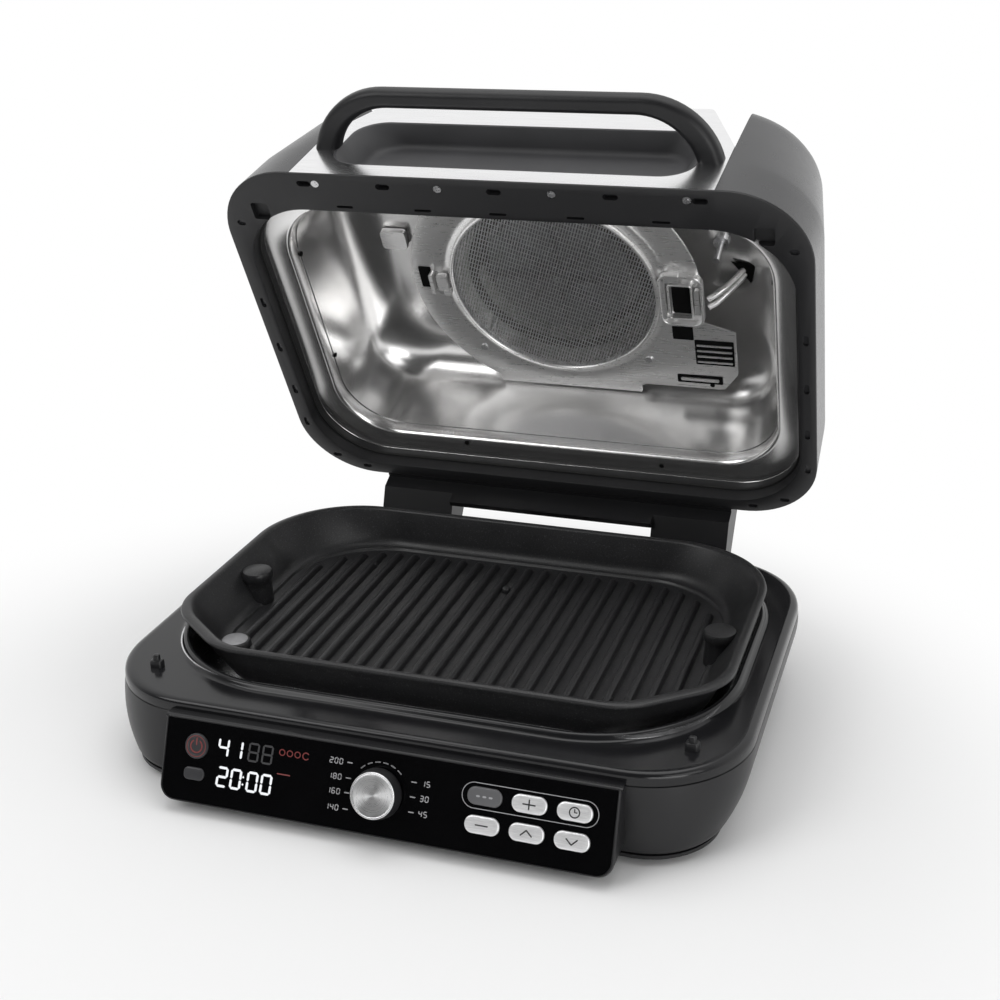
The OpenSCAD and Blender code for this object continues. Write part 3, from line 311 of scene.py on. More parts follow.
def relief(material, main, height, strength, depth):
    """Bump of a depth in millimetres."""
    tree = material.node_tree
    node = tree.nodes.new("ShaderNodeBump")
    node.inputs["Strength"].default_value = strength
    node.inputs["Distance"].default_value = depth * MM
    tree.links.new(height, node.inputs["Height"])
    tree.links.new(node.outputs["Normal"], main.inputs["Normal"])


def shade(colour, factor):
    return tuple(min(c * factor, 1.0) for c in colour)


def plastic(name, colour, rough, grain=1500, depth=0.006, specular=0.5):
    """Moulded plastic with a fine spark-eroded grain and faint clouding."""
    mottle = 0.12
    material, main = shader(name, {"Specular IOR Level": specular})
    cloud = noise(material, 22, detail=5)
    stops = [(0.3, shade(colour, 1 - mottle)), (0.7, shade(colour, 1 + mottle))]
    ramp(material, cloud, stops, main.inputs["Base Color"])
    spread(material, noise(material, 130, detail=2), rough - 0.012, rough + 0.016, main.inputs["Roughness"])
    relief(material, main, noise(material, grain, detail=2), 0.35, depth)
    return material


def steel(name, colour, rough, stretch, tilt=0.0, metallic=1.0, streak=0.14, depth=0.03):
    """Brushed sheet, its lines along the axis that is stretched least."""
    material, main = shader(name, {"Metallic": metallic})
    lines = noise(material, 12, stretch, detail=6, tilt=tilt, rough=0.65)
    stops = [(0.3, shade(colour, 1 - streak)), (0.7, shade(colour, 1 + streak))]
    ramp(material, lines, stops, main.inputs["Base Color"])
    spread(material, lines, rough - 0.015, rough + 0.02, main.inputs["Roughness"])
    relief(material, main, lines, 0.25, depth)
    return material


def plain_metal(name, colour, rough, scale=300):
    """Turned or cast metal with a faint even tooth."""
    material, main = shader(name, {"Metallic": 1.0})
    tooth = noise(material, scale, detail=4)
    ramp(material, tooth, [(0.3, shade(colour, 0.86)), (0.7, shade(colour, 1.1))], main.inputs["Base Color"])
    spread(material, tooth, rough - 0.06, rough + 0.08, main.inputs["Roughness"])
    relief(material, main, tooth, 0.25, 0.02)
    return material


def spun_metal():
    """Turned face of the dial: fine rings, and a shine that spreads across them."""
    material, main = shader("dial_metal", {"Metallic": 1.0, "Anisotropic": 0.85})
    tree = material.node_tree
    where = tree.nodes.new("ShaderNodeNewGeometry")
    arm = tree.nodes.new("ShaderNodeVectorMath")
    arm.operation = "SUBTRACT"
    arm.inputs[1].default_value = PANEL @ Vector((0, -dial_v * MM, 0.012))
    around = tree.nodes.new("ShaderNodeVectorMath")
    around.operation = "CROSS_PRODUCT"
    around.inputs[1].default_value = PANEL.to_3x3() @ Vector((0, 0, 1))
    reach = tree.nodes.new("ShaderNodeVectorMath")
    reach.operation = "LENGTH"
    tree.links.new(where.outputs["Position"], arm.inputs[0])
    tree.links.new(arm.outputs["Vector"], around.inputs[0])
    tree.links.new(arm.outputs["Vector"], reach.inputs[0])
    tree.links.new(around.outputs["Vector"], main.inputs["Tangent"])
    rings = tree.nodes.new("ShaderNodeTexNoise")
    rings.noise_dimensions = "1D"
    rings.inputs["Scale"].default_value = 2500
    tree.links.new(reach.outputs["Value"], rings.inputs["W"])
    stops = [(0.3, (0.88, 0.88, 0.89)), (0.7, (0.99, 0.99, 0.99))]
    ramp(material, rings.outputs["Fac"], stops, main.inputs["Base Color"])
    spread(material, rings.outputs["Fac"], 0.26, 0.36, main.inputs["Roughness"])
    relief(material, main, rings.outputs["Fac"], 0.15, 0.01)
    return material


def glow(name, colour, strength):
    """Display mark that gives off a slightly uneven light; faintly, it is painted light on unlit segments."""
    material, main = shader(name, {"Base Color": (0.02, 0.02, 0.02, 1), "Emission Strength": strength})
    cloud = noise(material, 900, detail=1)
    stops = [(0.3, shade(colour, 0.92)), (0.7, colour)]
    ramp(material, cloud, stops, main.inputs["Emission Color"])
    return material


def coating():
    """Non-stick coating: dark, with a fine pebble and pale mineral specks."""
    material, main = shader("plate_coating", {"Specular IOR Level": 0.4})
    specks = noise(material, 1100, detail=1)
    stops = [(0.3, (0.011, 0.011, 0.012)), (0.66, (0.02, 0.02, 0.021)), (0.74, (0.055, 0.055, 0.057))]
    ramp(material, specks, stops, main.inputs["Base Color"])
    spread(material, noise(material, 40, detail=4), 0.3, 0.42, main.inputs["Roughness"])
    relief(material, main, noise(material, 700, detail=3), 0.3, 0.05)
    return material


def gloss_black():
    """Gloss fascia: near black, with the faintest waviness and dust."""
    values = {"Specular IOR Level": 0.2, "Coat Weight": 0.05, "Coat Roughness": 0.03}
    material, main = shader("fascia_gloss", values)
    dust = noise(material, 1600, detail=1)
    stops = [(0.3, (0.0015, 0.0015, 0.0018)), (0.74, (0.002, 0.002, 0.0023)), (0.82, (0.008, 0.008, 0.009))]
    ramp(material, dust, stops, main.inputs["Base Color"])
    spread(material, noise(material, 60, detail=3), 0.1, 0.16, main.inputs["Roughness"])
    relief(material, main, noise(material, 25, detail=2), 0.05, 0.05)
    return material


lid_tilt = -open_angle
key_lines, hood_lines, sheet_lines = (8, 120, 120), (3, 90, 90), (4, 70, 70)
housing_black = plastic("housing_plastic", (0.012, 0.012, 0.013), 0.36, specular=0.38)
deck_black = plastic("deck_plastic", (0.01, 0.01, 0.011), 0.16, depth=0.001, specular=0.38)
rim_black = plastic("rim_plastic", (0.0105, 0.0105, 0.0115), 0.5, depth=0.04, specular=0.45)
cheek_grey = plastic("shell_plastic", (0.024, 0.024, 0.026), 0.26, specular=0.6)
handle_black = plastic("handle_plastic", (0.01, 0.01, 0.011), 0.38, specular=0.35)
pocket_grey = plastic("pocket_plastic", (0.05, 0.05, 0.053), 0.5)
dial_black = plastic("dial_dark", (0.008, 0.008, 0.009), 0.4)
key_silver = steel("key_silver", (0.88, 0.88, 0.89), 0.36, key_lines, panel_tilt, metallic=0.6, depth=0.01)
key_dark = plastic("key_dark", (0.03, 0.03, 0.033), 0.4)
key_grey = plastic("key_grey", (0.1, 0.1, 0.104), 0.4)
hood_steel = steel("hood_steel", (0.93, 0.93, 0.935), 0.19, hood_lines, lid_tilt, streak=0.05, depth=0.012)
liner_steel = steel(
    "liner_steel", (0.8, 0.795, 0.79), 0.22, sheet_lines, lid_tilt, metallic=0.95, streak=0.025, depth=0.003
)
guard_steel = steel(
    "guard_steel", (0.86, 0.855, 0.85), 0.28, sheet_lines, lid_tilt, metallic=0.75, streak=0.03, depth=0.004
)
well_steel = steel("well_steel", (0.7, 0.7, 0.71), 0.26, (6, 6, 60))
screen_steel = plain_metal("screen_steel", (0.76, 0.76, 0.77), 0.4)
screw_steel = plain_metal("screw_steel", (0.66, 0.66, 0.67), 0.3, 900)
element_steel = plain_metal("element_steel", (0.12, 0.115, 0.11), 0.5)
motor_grey = plain_metal("motor_grey", (0.35, 0.35, 0.36), 0.45)
dial_metal = spun_metal()
brass = plain_metal("bush_brass", (0.62, 0.46, 0.2), 0.36)
plate_black = coating()
fascia_black = gloss_black()
rubber = plastic("rubber", (0.01, 0.01, 0.01), 0.75, grain=700, depth=0.2)
board_green = plastic("board_green", (0.02, 0.09, 0.045), 0.4)
led_white = glow("led_white", (0.95, 0.97, 1.0), 1.0)
# Faint glow for the unlit segments: painted light
unlit_segment_glow = glow("unlit_segment_glow", (0.018, 0.018, 0.02), 1.0)
led_red = glow("led_red", (0.2, 0.03, 0.028), 0.8)
print_grey = plastic("print_grey", (0.32, 0.32, 0.33), 0.5, grain=2500, depth=0.01)
mark_dark = plastic("mark_dark", (0.02, 0.02, 0.021), 0.5, grain=2500, depth=0.01)
# Near black for thin plates laid where openings are: painted shade in place of holes and windows
painted_hole_shade = plastic("painted_hole_shade", (0.003, 0.003, 0.003), 0.8, specular=0.1)


# Base deck and housing
def well_ring(grow, z):
    return level(rrect(well_w + 2 * grow, well_d + 2 * grow, well_r + grow, y=well_y, n=18), z)


def deck_ring(side, end, z):
    return level(rrect(base_w - 2 * side, base_d - 2 * end, base_r - (side + end) / 2, n=18), z)


lip_steps = [(0, 58), (0, 69.8), (0.5, 70.7), (1.4, 71), (2.6, 70.9), (3.6, 70.5), (4.4, 69.6)]
lip_steps += [(5, 68.3), (5.7, 67.5), (7, 67.1), (8.4, deck_z)]
edge_steps = [(4, 2, 66.6), (2.3, 1, 65.8), (1.1, 0.4, 64.4), (0.5, 0.1, 62.4), (0.3, 0, 60), (0.2, 0, 58.4)]
edge_steps += [(0.7, 0.5, housing_top), (4, 4, housing_top)]
flat_edge = deck_ring(6, 3.4, deck_z)
rings = [well_ring(*step) for step in lip_steps]
rings += [between(rings[-1], flat_edge, part) for part in (0.08, 0.92, 1)]
rings += [deck_ring(*step) for step in edge_steps]
piece("deck", "base", BASE, loft(rings, (False, False)), deck_black, "base_deck")


def housing_ring(z, extra=0.0):
    drop = max(housing_top - z, 0) / (housing_top - ground_gap)
    inset_x = housing_taper * drop**2.2 + extra
    return level(rrect(base_w - 2 * inset_x, base_d - 2 * extra, base_r - base_r_fall * drop, n=18), z)


housing_steps = [(57.6, 4), (57.6, 0.5), (57.2, 0.1)]
housing_steps += [(z, 0) for z in (54, 49, 44, 39, 34, 29, 24, 19.5, 15.5, 12.5)]
housing_steps += [(10.5, 0.2), (9, 0.9), (8.2, 2.2), (8, 4), (8.2, 12)]
rings = [housing_ring(*step) for step in housing_steps]
piece("housing", "base", BASE, loft(rings, (False, False)), housing_black, "base_housing")

pegs = []
for s in (-1, 1):
    pegs.append(block(9, 7, 6, s * peg_x, peg_y, deck_z - 1, 1.2, 2))
    pegs.append(block(5, 4, 9, s * peg_x, peg_y, deck_z, 1.0, 1.6))
piece("deck_bumps", "base", BASE, join(*pegs), housing_black, "deck_pegs")


# Console frame, behind and round the fascia
def hang(w, top, bottom, r, n=10):
    """Outline with small upper corners and round lower corners, in the panel's plane."""
    small = 1.5
    corners = ((1, top, small, 0), (-1, top, small, 90), (-1, -bottom, r, 180), (1, -bottom, r, 270))
    outline = []
    for sx, y, radius, start in corners:
        cy = y - radius if y == top else y + radius
        for i in range(n + 1):
            a = radians(start + 90 * i / n)
            outline.append((sx * (w / 2 - radius) + radius * cos(a), cy + radius * sin(a)))
    return outline


def level_back(outline, n, back):
    """A ring in the panel's plane, pushed level towards the rear."""
    lean = radians(panel_lean)
    return [(x, y + back * sin(lean), n - back * cos(lean)) for x, y in outline]


outer = []
for i in (0, 0.3, 0.6, 1):
    outer.append(hang(panel_w + 2 * console_edge - 2 * i, 1.6 - i, panel_h + 1.6 - i, panel_r + 1.5 - i))
inner = hang(panel_w + 0.5, 0.25, panel_h + 0.25, panel_r + 0.25)
throat = hang(panel_w - 8, -3, panel_h - 4, 6)
rings = [level_back(outer[0], -1.6, 40), level(outer[0], -1.6), level(outer[1], -0.5), level(outer[2], 0.3)]
rings += [level(outer[3], 0.6), level(inner, 0.6), level(inner, -0.2), level_back(inner, -0.2, 3)]
rings += [level_back(throat, -0.2, 3.2), level_back(throat, -0.2, 36)]
console = loft(rings, (False, False))
piece("console", "base", PANEL, console, housing_black, "console_frame")
ledge_section = [(-160.5, 57.9), (-169.2, 57.9), (-170, 59.4), (-169.8, 60.1), (-169.2, 60.5), (-168, 60.6)]
ledge_section.append((-160.5, 60.7))
rings = [[(x, y, z) for y, z in ledge_section] for x in (-157, -100, 0, 100, 157)]
piece("console_brow", "base", BASE, loft(rings), deck_black)


# Keys, buttons and dial
def button(w, h, r):
    """Key top with a soft edge and a slight crown."""
    top, crown = 1.2, 0.12
    steps = [(-3.4, 0), (top - 0.9, 0), (top - 0.4, 0.16), (top - 0.1, 0.5), (top, 1.1), (top + crown, 3.0)]
    return loft([level(rrect(w - 2 * i, h - 2 * i, r - i, n=10), z) for z, i in steps])


def on_panel(x, v):
    """Frame on the fascia, v below its upper edge."""
    return PANEL @ Matrix.Translation((x * MM, -v * MM, 0))


key_places = []
for row in (-0.5, 0.5):
    key_places += [(keys_x + key_pitch_x * col, dial_v + key_pitch_v * row) for col in (-1, 0, 1)]
for i, (x, v) in enumerate(key_places):
    name = f"key_{i + 1}"
    finish = key_grey if i == 0 else key_silver
    piece(f"{name}_top", f"{name}_cap", on_panel(x, v), button(23, 11.4, 5.4), finish, name)
place = on_panel(button_x, side_button_v)
piece("side_button_top", "side_button_cap", place, button(15, 8.6, 3.6), key_dark, "side_button")
power = [(0, -3.4), (8.5, -3.4), (8.5, 0.5), (8.2, 1.0), (7.6, 1.2), (6.2, 1.2), (5.8, 0.9), (0, 0.75)]
place = on_panel(button_x, power_v)
piece("power_button_top", "power_button_cap", place, lathe(power, 64), key_dark, "power_button")

knob = [(0, 1.8), (15.6, 1.7), (16.4, 2.1), (16.5, 2.8), (16.5, 4.6), (16.2, 5.2)]
knob += [(15.35, 10.9), (15.1, 11.4), (14.6, 11.6), (0, 11.6)]
piece("dial_side", "dial", on_panel(0, dial_v), lathe(knob, 96), dial_black, "dial_knob")
cap = [(15, 11.5), (14.95, 12.1), (14.6, 12.4), (14.0, 12.4), (13.7, 12.25), (13.4, 12.2)]
cap += [(r, 12.2 - 0.25 * (1 - (r / 13.4) ** 2)) for r in (12, 10, 8, 6, 4, 2, 0.8, 0)]
piece("dial_face", "dial", on_panel(0, dial_v), lathe(cap, 96), dial_metal, "dial_cap")


# Marks on the fascia: seven-part digits, ticks, rings and plain numbers
def stroke(points, width, n0=0.03, n1=0.09):
    """Flat bars along the segments of a line, in the panel's plane."""
    shapes = []
    for (x0, v0), (x1, v1) in zip(points, points[1:]):
        a = Vector((x0, -v0))
        b = Vector((x1, -v1))
        along = (b - a).normalized() * (width / 2)
        side = Vector((-along.y, along.x))
        outline = [a + side, a - along, a - side, b - side, b + along, b + side]
        shapes.append(polygon_plate([tuple(p) for p in outline], n0, n1))
    return join(*shapes)


def arc_points(x, v, r, start, end, steps=24):
    turns = [radians(start + (end - start) * i / steps) for i in range(steps + 1)]
    return [(x + r * cos(a), v - r * sin(a)) for a in turns]


bar_ends = {"a": ((0, 0), (1, 0)), "b": ((1, 0), (1, 1)), "c": ((1, 1), (1, 2)), "d": ((0, 2), (1, 2))}
bar_ends.update({"e": ((0, 1), (0, 2)), "f": ((0, 0), (0, 1)), "g": ((0, 1), (1, 1))})
digit_bars = {"0": "abcdef", "1": "bc", "2": "abged", "3": "abgcd", "4": "fgbc", "5": "afgcd"}
digit_bars.update({"6": "afgedc", "7": "abc", "8": "abcdefg"})


def digit(letter, x, v, w, h, width):
    """Seven-part digit with a slight slant, its upper left corner at x, v."""
    bars = []
    for bar in digit_bars[letter]:
        ends = []
        for px, py in bar_ends[bar]:
            ends.append((x + px * w + (2 - py) * 0.03 * h, v + py * h / 2))
        a, b = Vector(ends[0]), Vector(ends[1])
        gap = (b - a).normalized() * width * 0.55
        bars.append(stroke([tuple(a + gap), tuple(b - gap)], width))
    return join(*bars)


upper_v, lower_v = 9.4, 28.4
lit = [digit(c, x, upper_v, 6.6, 11.4, 1.5) for c, x in zip("41", (-116, -106))]
lit += [digit(c, x, lower_v, 6.6, 12.2, 1.6) for c, x in zip("2000", (-115, -105, -93, -83))]
lit += [stroke([(-96.0, v), (-96.0, v + 0.1)], 1.5) for v in (32.2, 37)]
piece("display_lit", "base", PANEL, join(*lit), led_white)
# Unlit 8s given a faint glow: painted light standing in for the light their segments would reflect
ghost = [digit("8", x, upper_v, 6.6, 11.4, 1.3) for x in (-94, -84)]
piece("display_ghost", "base", PANEL, join(*ghost), unlit_segment_glow)
red = [stroke(arc_points(x, 11.8, 1.9, 0, 360), 0.6) for x in (-70, -64.5, -59)]
red += [stroke(arc_points(-53, 11.8, 2.2, 40, 320), 0.7), stroke([(-72, 26), (-63, 26)], 0.8)]
piece("display_icons", "base", PANEL, join(*red), led_red)

sunk_face, key_face = (0.7, 0.98), (1.2, 1.38)
mark = [stroke(arc_points(0, 0, 4.2, 125, 415), 0.9, *sunk_face)]
mark.append(stroke([(0, -5.4), (0, -1)], 0.9, *sunk_face))
mark.append(stroke(arc_points(0, 0, 6.9, 0, 360, 48), 0.5, 1, 1.26))
place = on_panel(button_x, power_v)
piece("power_mark", "power_button_cap", place, join(*mark), led_red)
dots = [stroke([(x, 0), (x + 1.6, 0)], 1.2, *key_face) for x in (-5, -0.8, 3.4)]
minus = stroke([(-4, 0), (4, 0)], 0.9, *key_face)
plus = [minus, stroke([(0, -3), (0, 3)], 0.9, *key_face)]
hands = stroke([(0, -2), (0, 0), (1.6, 0)], 0.7, *key_face)
clock = [stroke(arc_points(0, 0, 3.2, 0, 360), 0.8, *key_face), hands]
more = [stroke([(-3.6, 1.4), (0, -2), (3.6, 1.4)], 0.9, *key_face)]
less = [stroke([(-3.6, -1.4), (0, 2), (3.6, -1.4)], 0.9, *key_face)]
for i, symbol in enumerate((dots, plus, clock, [minus], more, less)):
    name = f"key_{i + 1}"
    finish = print_grey if i == 0 else mark_dark
    piece(f"{name}_mark", f"{name}_cap", on_panel(*key_places[i]), join(*symbol), finish)

small_w, small_h, small_pitch, small_line = 2, 3.4, 3.4, 0.6


def number(letters, x, v):
    """Small printed number, its middle at height v."""
    places = [x + small_pitch * i for i in range(len(letters))]
    return [digit(c, px, v - small_h / 2, small_w, small_h, small_line) for c, px in zip(letters, places)]


prints = []
for letters, v in zip(("200", "180", "160", "140"), (11, 21, 30.5, 41)):
    prints += number(letters, -36, v)
    prints.append(stroke([(-23.6, v), (-20.4, v)], 0.8))
for letters, v in zip(("15", "30", "45"), (16.5, 26, 35.7)):
    prints.append(stroke([(21.2, v), (24.4, v)], 0.8))
    prints += number(letters, 28, v)
prints += [stroke(arc_points(0, dial_v, 19.6, a, a + 9, 4), 0.8) for a in (46, 62, 78, 94, 110, 126)]
key_row = rrect(88.5, 16.2, 8.05, keys_x, dial_v - key_pitch_v / 2, 12)
prints.append(stroke(key_row + key_row[:1], 0.5))
piece("panel_prints", "base", PANEL, join(*prints), print_grey)


# Grill plate: the outline is where the hull of six circles reaches furthest in each direction
def plate_ring(side, end, z, n=240):
    w = plate_w / 2 - side
    h = plate_d / 2 - end
    r = plate_r - 0.2 * side
    circles = [(w - r, h - r, r), (w - corner_r, corner_back - h, corner_r)]
    circles.append((w - corner_in, corner_r - h, corner_r))
    circles += [(-x, y, c) for x, y, c in circles]
    ring = []
    for i in range(n):
        a = 2 * pi * (i + 0.5) / n
        x, y, c = max(circles, key=lambda q: q[0] * cos(a) + q[1] * sin(a) + q[2])
        ring.append((x + c * cos(a), y + c * sin(a) + plate_y, z))
    return ring


profile = [(34, 16, 50), (27, 11, 50.6), (21, 8.8, 53), (17.5, 7.6, 57.5), (12.5, 6, 68), (8, 4.4, 82.4)]
profile += [(1.2, 1.2, 83.2), (0.2, 0.2, 83.8), (0, 0, 84.8), (0.4, 0.4, 86.2), (1.6, 1.6, rim_top)]
profile += [(4.2, 3.4, rim_top), (5.8, 4.6, 86.5), (7, 5.4, 85.2), (22.6, 7.6, 63.5), (23.8, 8.4, 60.6)]
profile += [(25.2, 9.6, 58.4), (26.8, 11, 57), (28.6, 12.4, 56.4), (29.4, 13.1, 56.2), (29.9, 13.6, 55.4)]
profile += [(30.4, 14.1, 54.4), (31.6, 15, floor_z)]
body = loft([plate_ring(*step) for step in profile])


def floor_reach(x):
    """Nearest and furthest y of the ridges at x."""
    ring = plate_ring(ridge_side, ridge_end, 0)
    ys = []
    for p, q in zip(ring, ring[1:] + ring[:1]):
        if min(p[0], q[0]) <= x < max(p[0], q[0]):
            ys.append(p[1] + (q[1] - p[1]) * (x - p[0]) / (q[0] - p[0]))
    return min(ys), max(ys)


half_section = [(3.1, 0), (2.5, 2.4), (2.0, 3.8), (1.1, ridge_h)]
section = [(-a, b) for a, b in half_section] + half_section[::-1]
ridges = []
for i in range(ridge_count):
    x = ridge_pitch * (i - (ridge_count - 1) / 2)
    y0, y1 = floor_reach(x)
    steps = [(y0, 0.02), (y0 + 1.2, 0.45), (y0 + 3, 0.85), (y0 + 5.5, 1)]
    steps += [(y1 - 5.5, 1), (y1 - 3, 0.85), (y1 - 1.2, 0.45), (y1, 0.02)]
    ridges.append(loft([[(x + a, y, floor_z + b * h) for a, b in section] for y, h in steps]))
boss = [(11.5, 0), (10.6, 12), (10.4, 17), (11.2, 18.6), (11.8, 20)]
boss += [(11.8, 24), (11, 25.6), (9, 26.4), (0, 26.6)]
pad = [(12, 0), (11.4, 5), (10.8, 6.4), (9.6, 6.9), (0, 7)]
nub = [(3.6, 0), (3.4, 2.6), (2.6, 3.6), (0, 4)]
lugs = []
for s in (-1, 1):
    lugs.append(moved(lathe(boss, 48), s * boss_x, boss_y, floor_z))
    lugs.append(moved(lathe(pad, 40), s * pad_x, pad_y, floor_z))
    lugs += [moved(lathe(nub, 20), s * nub_x, y, floor_z) for y in (95, -61)]
lugs.append(moved(lathe(nub, 20), 0, 80, floor_z))
piece("plate", "plate", BASE, join(body, *ridges, *lugs), plate_black, "grill_plate", 40)
# Pale grey metal discs on the tops of the two front pads
pad_top_section = [(0, 6.9), (9.4, 6.9), (9.4, 7.05), (9, 7.15), (0, 7.2)]
pale_pad_tops = [moved(lathe(pad_top_section, 40), s * pad_x, pad_y, floor_z) for s in (-1, 1)]
piece("plate_pads", "plate", BASE, join(*pale_pad_tops), motor_grey)


# Lid shell: an outline for each height, from the same rounds as the CAD model
def side_round(reach, lean, r):
    """Centre of the round between a leaning wall and the lid's top."""
    a = radians(lean)
    return reach - tan(a) * (lid_h - r) - r / cos(a), lid_h - r


def wall(u, reach, lean, r):
    """Distance of a leaning wall with a round top from the middle."""
    x, c = side_round(reach, lean, r)
    if u <= c + r * sin(radians(lean)):
        return reach - tan(radians(lean)) * u
    return x + sqrt(max(r * r - (u - c) ** 2, 0))


def lid_ring(u, inset=0.0):
    """Outside of the lid at height u."""
    front = wall(u, lid_d / 2, front_lean, front_r)
    rear = wall(u, lid_d / 2, rear_lean, rear_r)
    bend = tan(radians(side_lean)) * side_break
    half = min(lid_w / 2, wall(u, lid_w / 2 + bend, side_lean, side_r))
    r = lid_r + lid_r_grow * u / lid_h
    outline = rrect(2 * half - 2 * inset, front + rear - 2 * inset, r, y=(rear - front) / 2, n=18)
    return level(outline, u)


def mouth_ring(u, grow):
    """Opening of the rim at height u."""
    return level(rrect(mouth_w + 2 * grow, mouth_d + 2 * grow, mouth_r + grow, y=mouth_y, n=18), u)


def cavity_ring(u, inset):
    """Wall of the liner at height u."""
    r = cavity_r - 0.1 * inset
    return level(rrect(cavity_w - 2 * inset, cavity_d - 2 * inset, r, y=cavity_y, n=18), u)


heights = [2.05, 3, 12, 20, 32, 43, 47, 60, 80, 100, 112, 120, 127, 133, 138, 143, 147, 151, 154]
heights += [156.4, 158.3, 159.5, 160]
cheeks = loft([lid_ring(u) for u in heights])
shell = piece("cheeks", "lid", LID, cheeks, cheek_grey, "lid_shell")
hood_room = rrect(hood_w + 0.6, 400, 1, y=hood_back - 200)
cut(shell, polygon_plate(hood_room, -5, 200), LID)
rings = [level(rrect(mouth_w + 8, mouth_d + 8, mouth_r, y=mouth_y, n=18), u) for u in (-1, 24)]
rings += [cavity_ring(u, i - 4) for u, i in ((25, 0), (72, 4), (90, 9), (103, 21), (112, 42))]
cut(shell, loft(rings), LID)
vents = [block(4, 26, 38, 9 * i, 152, 70, 0.5, 1.8) for i in range(-9, 10)]
recesses = []
for s in (-1, 1):
    recesses.append(polygon_plate(rrect(15, 16, 2, s * recess_x, recess_y, 5), -3, 7))
cut(shell, join(*vents, *recesses), LID)
dress(hood_steel, "lid_hood")

# Lid rim
rim_steps = [(rim_h, 3), (2.2, 3), (2, 0.1), (1.2, 0), (0.4, 0.3), (0, 1.1)]
mouth_steps = [(0, 1.2), (0.5, 0.3), (1.4, 0), (10, -0.5), (18.6, -1.2), (19, -0.8), (19, 3), (12, 5)]
rings = [lid_ring(*step) for step in rim_steps]
rings += [mouth_ring(*step) for step in mouth_steps]
rim = piece("rim", "lid", LID, loft(rings + rings[:1], (False, False)), rim_black, "lid_rim")
front_y = -lid_d / 2
outer_row = front_y + 9
inner_row = mouth_y - mouth_d / 2 - 5
slots = [(0, outer_row, 11, 5), (0, inner_row, 13, 2.2)]
for s in (-1, 1):
    slots += [(s * x, outer_row, 11, 5) for x in (84, 146)]
    slots += [(s * x, inner_row, 13, 2.2) for x in (57, 118)]
    slots += [(s * (lid_w / 2 - 7), front_y + lid_d * part, 4, 10) for part in (0.4, 0.55, 0.7, 0.82)]
    slots += [(s * recess_x, recess_y, 14, 15), (s * 208.5, -113.5, 7, 5)]
    slots += [(s * 196, 143, 8, 4), (s * 170, 154, 8, 4)]
tools = []
for x, y, w, d in slots:
    short = min(w, d)
    tools.append(polygon_plate(rrect(w, d, short / 2 if short < 6 else 2, x, y, 5), -3, 5))
screw_hole = lathe([(0, -3), (3.3, -3), (3.3, 1.3), (0, 1.3)], 24)
tools += [moved(screw_hole, x, outer_row, 0) for x in (-137, -42, 42, 137)]
slanted = polygon_plate(rrect(13, 3, 1.4, n=5), -3, 3)
for s in (-1, 1):
    turn = Matrix.Translation((s * 189.5, -107, 0)) @ Matrix.Rotation(radians(45 * s), 4, "Z")
    tools.append(placed(slanted, turn))
cut(rim, join(*tools), LID)
dress(screw_steel, "rim_screws")
dress(rubber, "lid_seal")

# Lid liner: a ledge over the plate's rim, a bead, walls and a wide round into the roof
mouth_edge = mouth_ring(0, 0)
cavity_edge = cavity_ring(0, 0)


def ledge_ring(t, u):
    return [(x, y, u) for x, y, _ in between(mouth_edge, cavity_edge, t)]


ledge_steps = [(-0.1, 12.6), (0.04, 19.3), (0.1, 20), (0.82, 21.4), (0.88, 20.8), (0.94, 20.8), (0.985, 21.6)]
wall_steps = [(23.5, 0.6), (31, 1.2), (31.6, 1.9), (33, 2.1), (66, 4), (71, 4.6), (80, 5.7), (87, 8)]
wall_steps += [(93, 11.4), (98, 15.6), (102, 20.5), (105, 25.6), (107.2, 31), (108.5, 36.4), (109, 42)]
rings = [ledge_ring(*step) for step in ledge_steps]
rings += [cavity_ring(*step) for step in wall_steps]
piece("liner", "lid", LID, loft(rings, (False, True)), liner_steel, "lid_liner")


# Fan guard, splatter shield and clips
def guard_outline(grow, n=360):
    """Round plate with flats, a tab to the rear and a bracket to the right."""
    outline = []
    for i in range(n):
        a = 2 * pi * i / n
        c, s = cos(a), sin(a)
        r = min(guard_r + grow, (guard_flat + grow) / max(abs(s), 1e-6))
        if s > 0.05:
            r = max(r, min((guard_flat + grow) / s, (tab_half + grow) / max(abs(c), 1e-6)))
        if c > 0.05 and s > 0.24:
            r = max(r, min((bracket_x + grow) / c, (bracket_y + grow) / s, bracket_reach + grow))
        outline.append((r * c, r * s))
    return outline


def circle(r, n=360):
    return [(r * cos(2 * pi * i / n), r * sin(2 * pi * i / n)) for i in range(n)]


plate_steps = [(0, 1.2), (0, 0.4), (-0.4, 0)]
hole_steps = [(97, 0), (95.6, 0.8), (91, 0.8), (89.6, 0), (84.4, 0), (hole_r, 0.4), (hole_r, 1.2)]
rings = [level(circle(hole_r), guard_u + 1.2)]
rings += [level(guard_outline(grow), guard_u + up) for grow, up in plate_steps]
rings += [level(circle(r), guard_u + up) for r, up in hole_steps]
piece("guard", "lid", FAN, loft(rings, (False, False)), guard_steel, "fan_guard")
dress(screw_steel, "guard_screws", "guard_posts")
bead = [(84.6, 81.2), (84.6, 80), (85.2, 79.3), (86.4, 79.2), (87.4, 79.7), (88, 81), (88, 83), (87.4, 83.7)]
bead += [(86.6, 83.7), (86.4, 82.6), (85.8, 82), (84.6, 81.2)]
piece("shield_edge", "splatter_shield", FAN, lathe(bead, 160), guard_steel, "shield_ring")
wires = []
for turn, height, pitch, r in ((109, 81.1, 2.3, 0.62), (19, 81.9, 4.6, 0.4)):
    a = radians(turn)
    for i in range(-40, 41):
        off = pitch * i
        if abs(off) < wire_reach - 1:
            half = sqrt(wire_reach * wire_reach - off * off)
            ends = []
            for s in (-1, 1):
                ends.append((s * half * cos(a) - off * sin(a), s * half * sin(a) + off * cos(a), height))
            wires.append(tube(ends, r, 6))
piece("shield_screen", "splatter_shield", FAN, join(*wires), screen_steel, "shield_mesh")


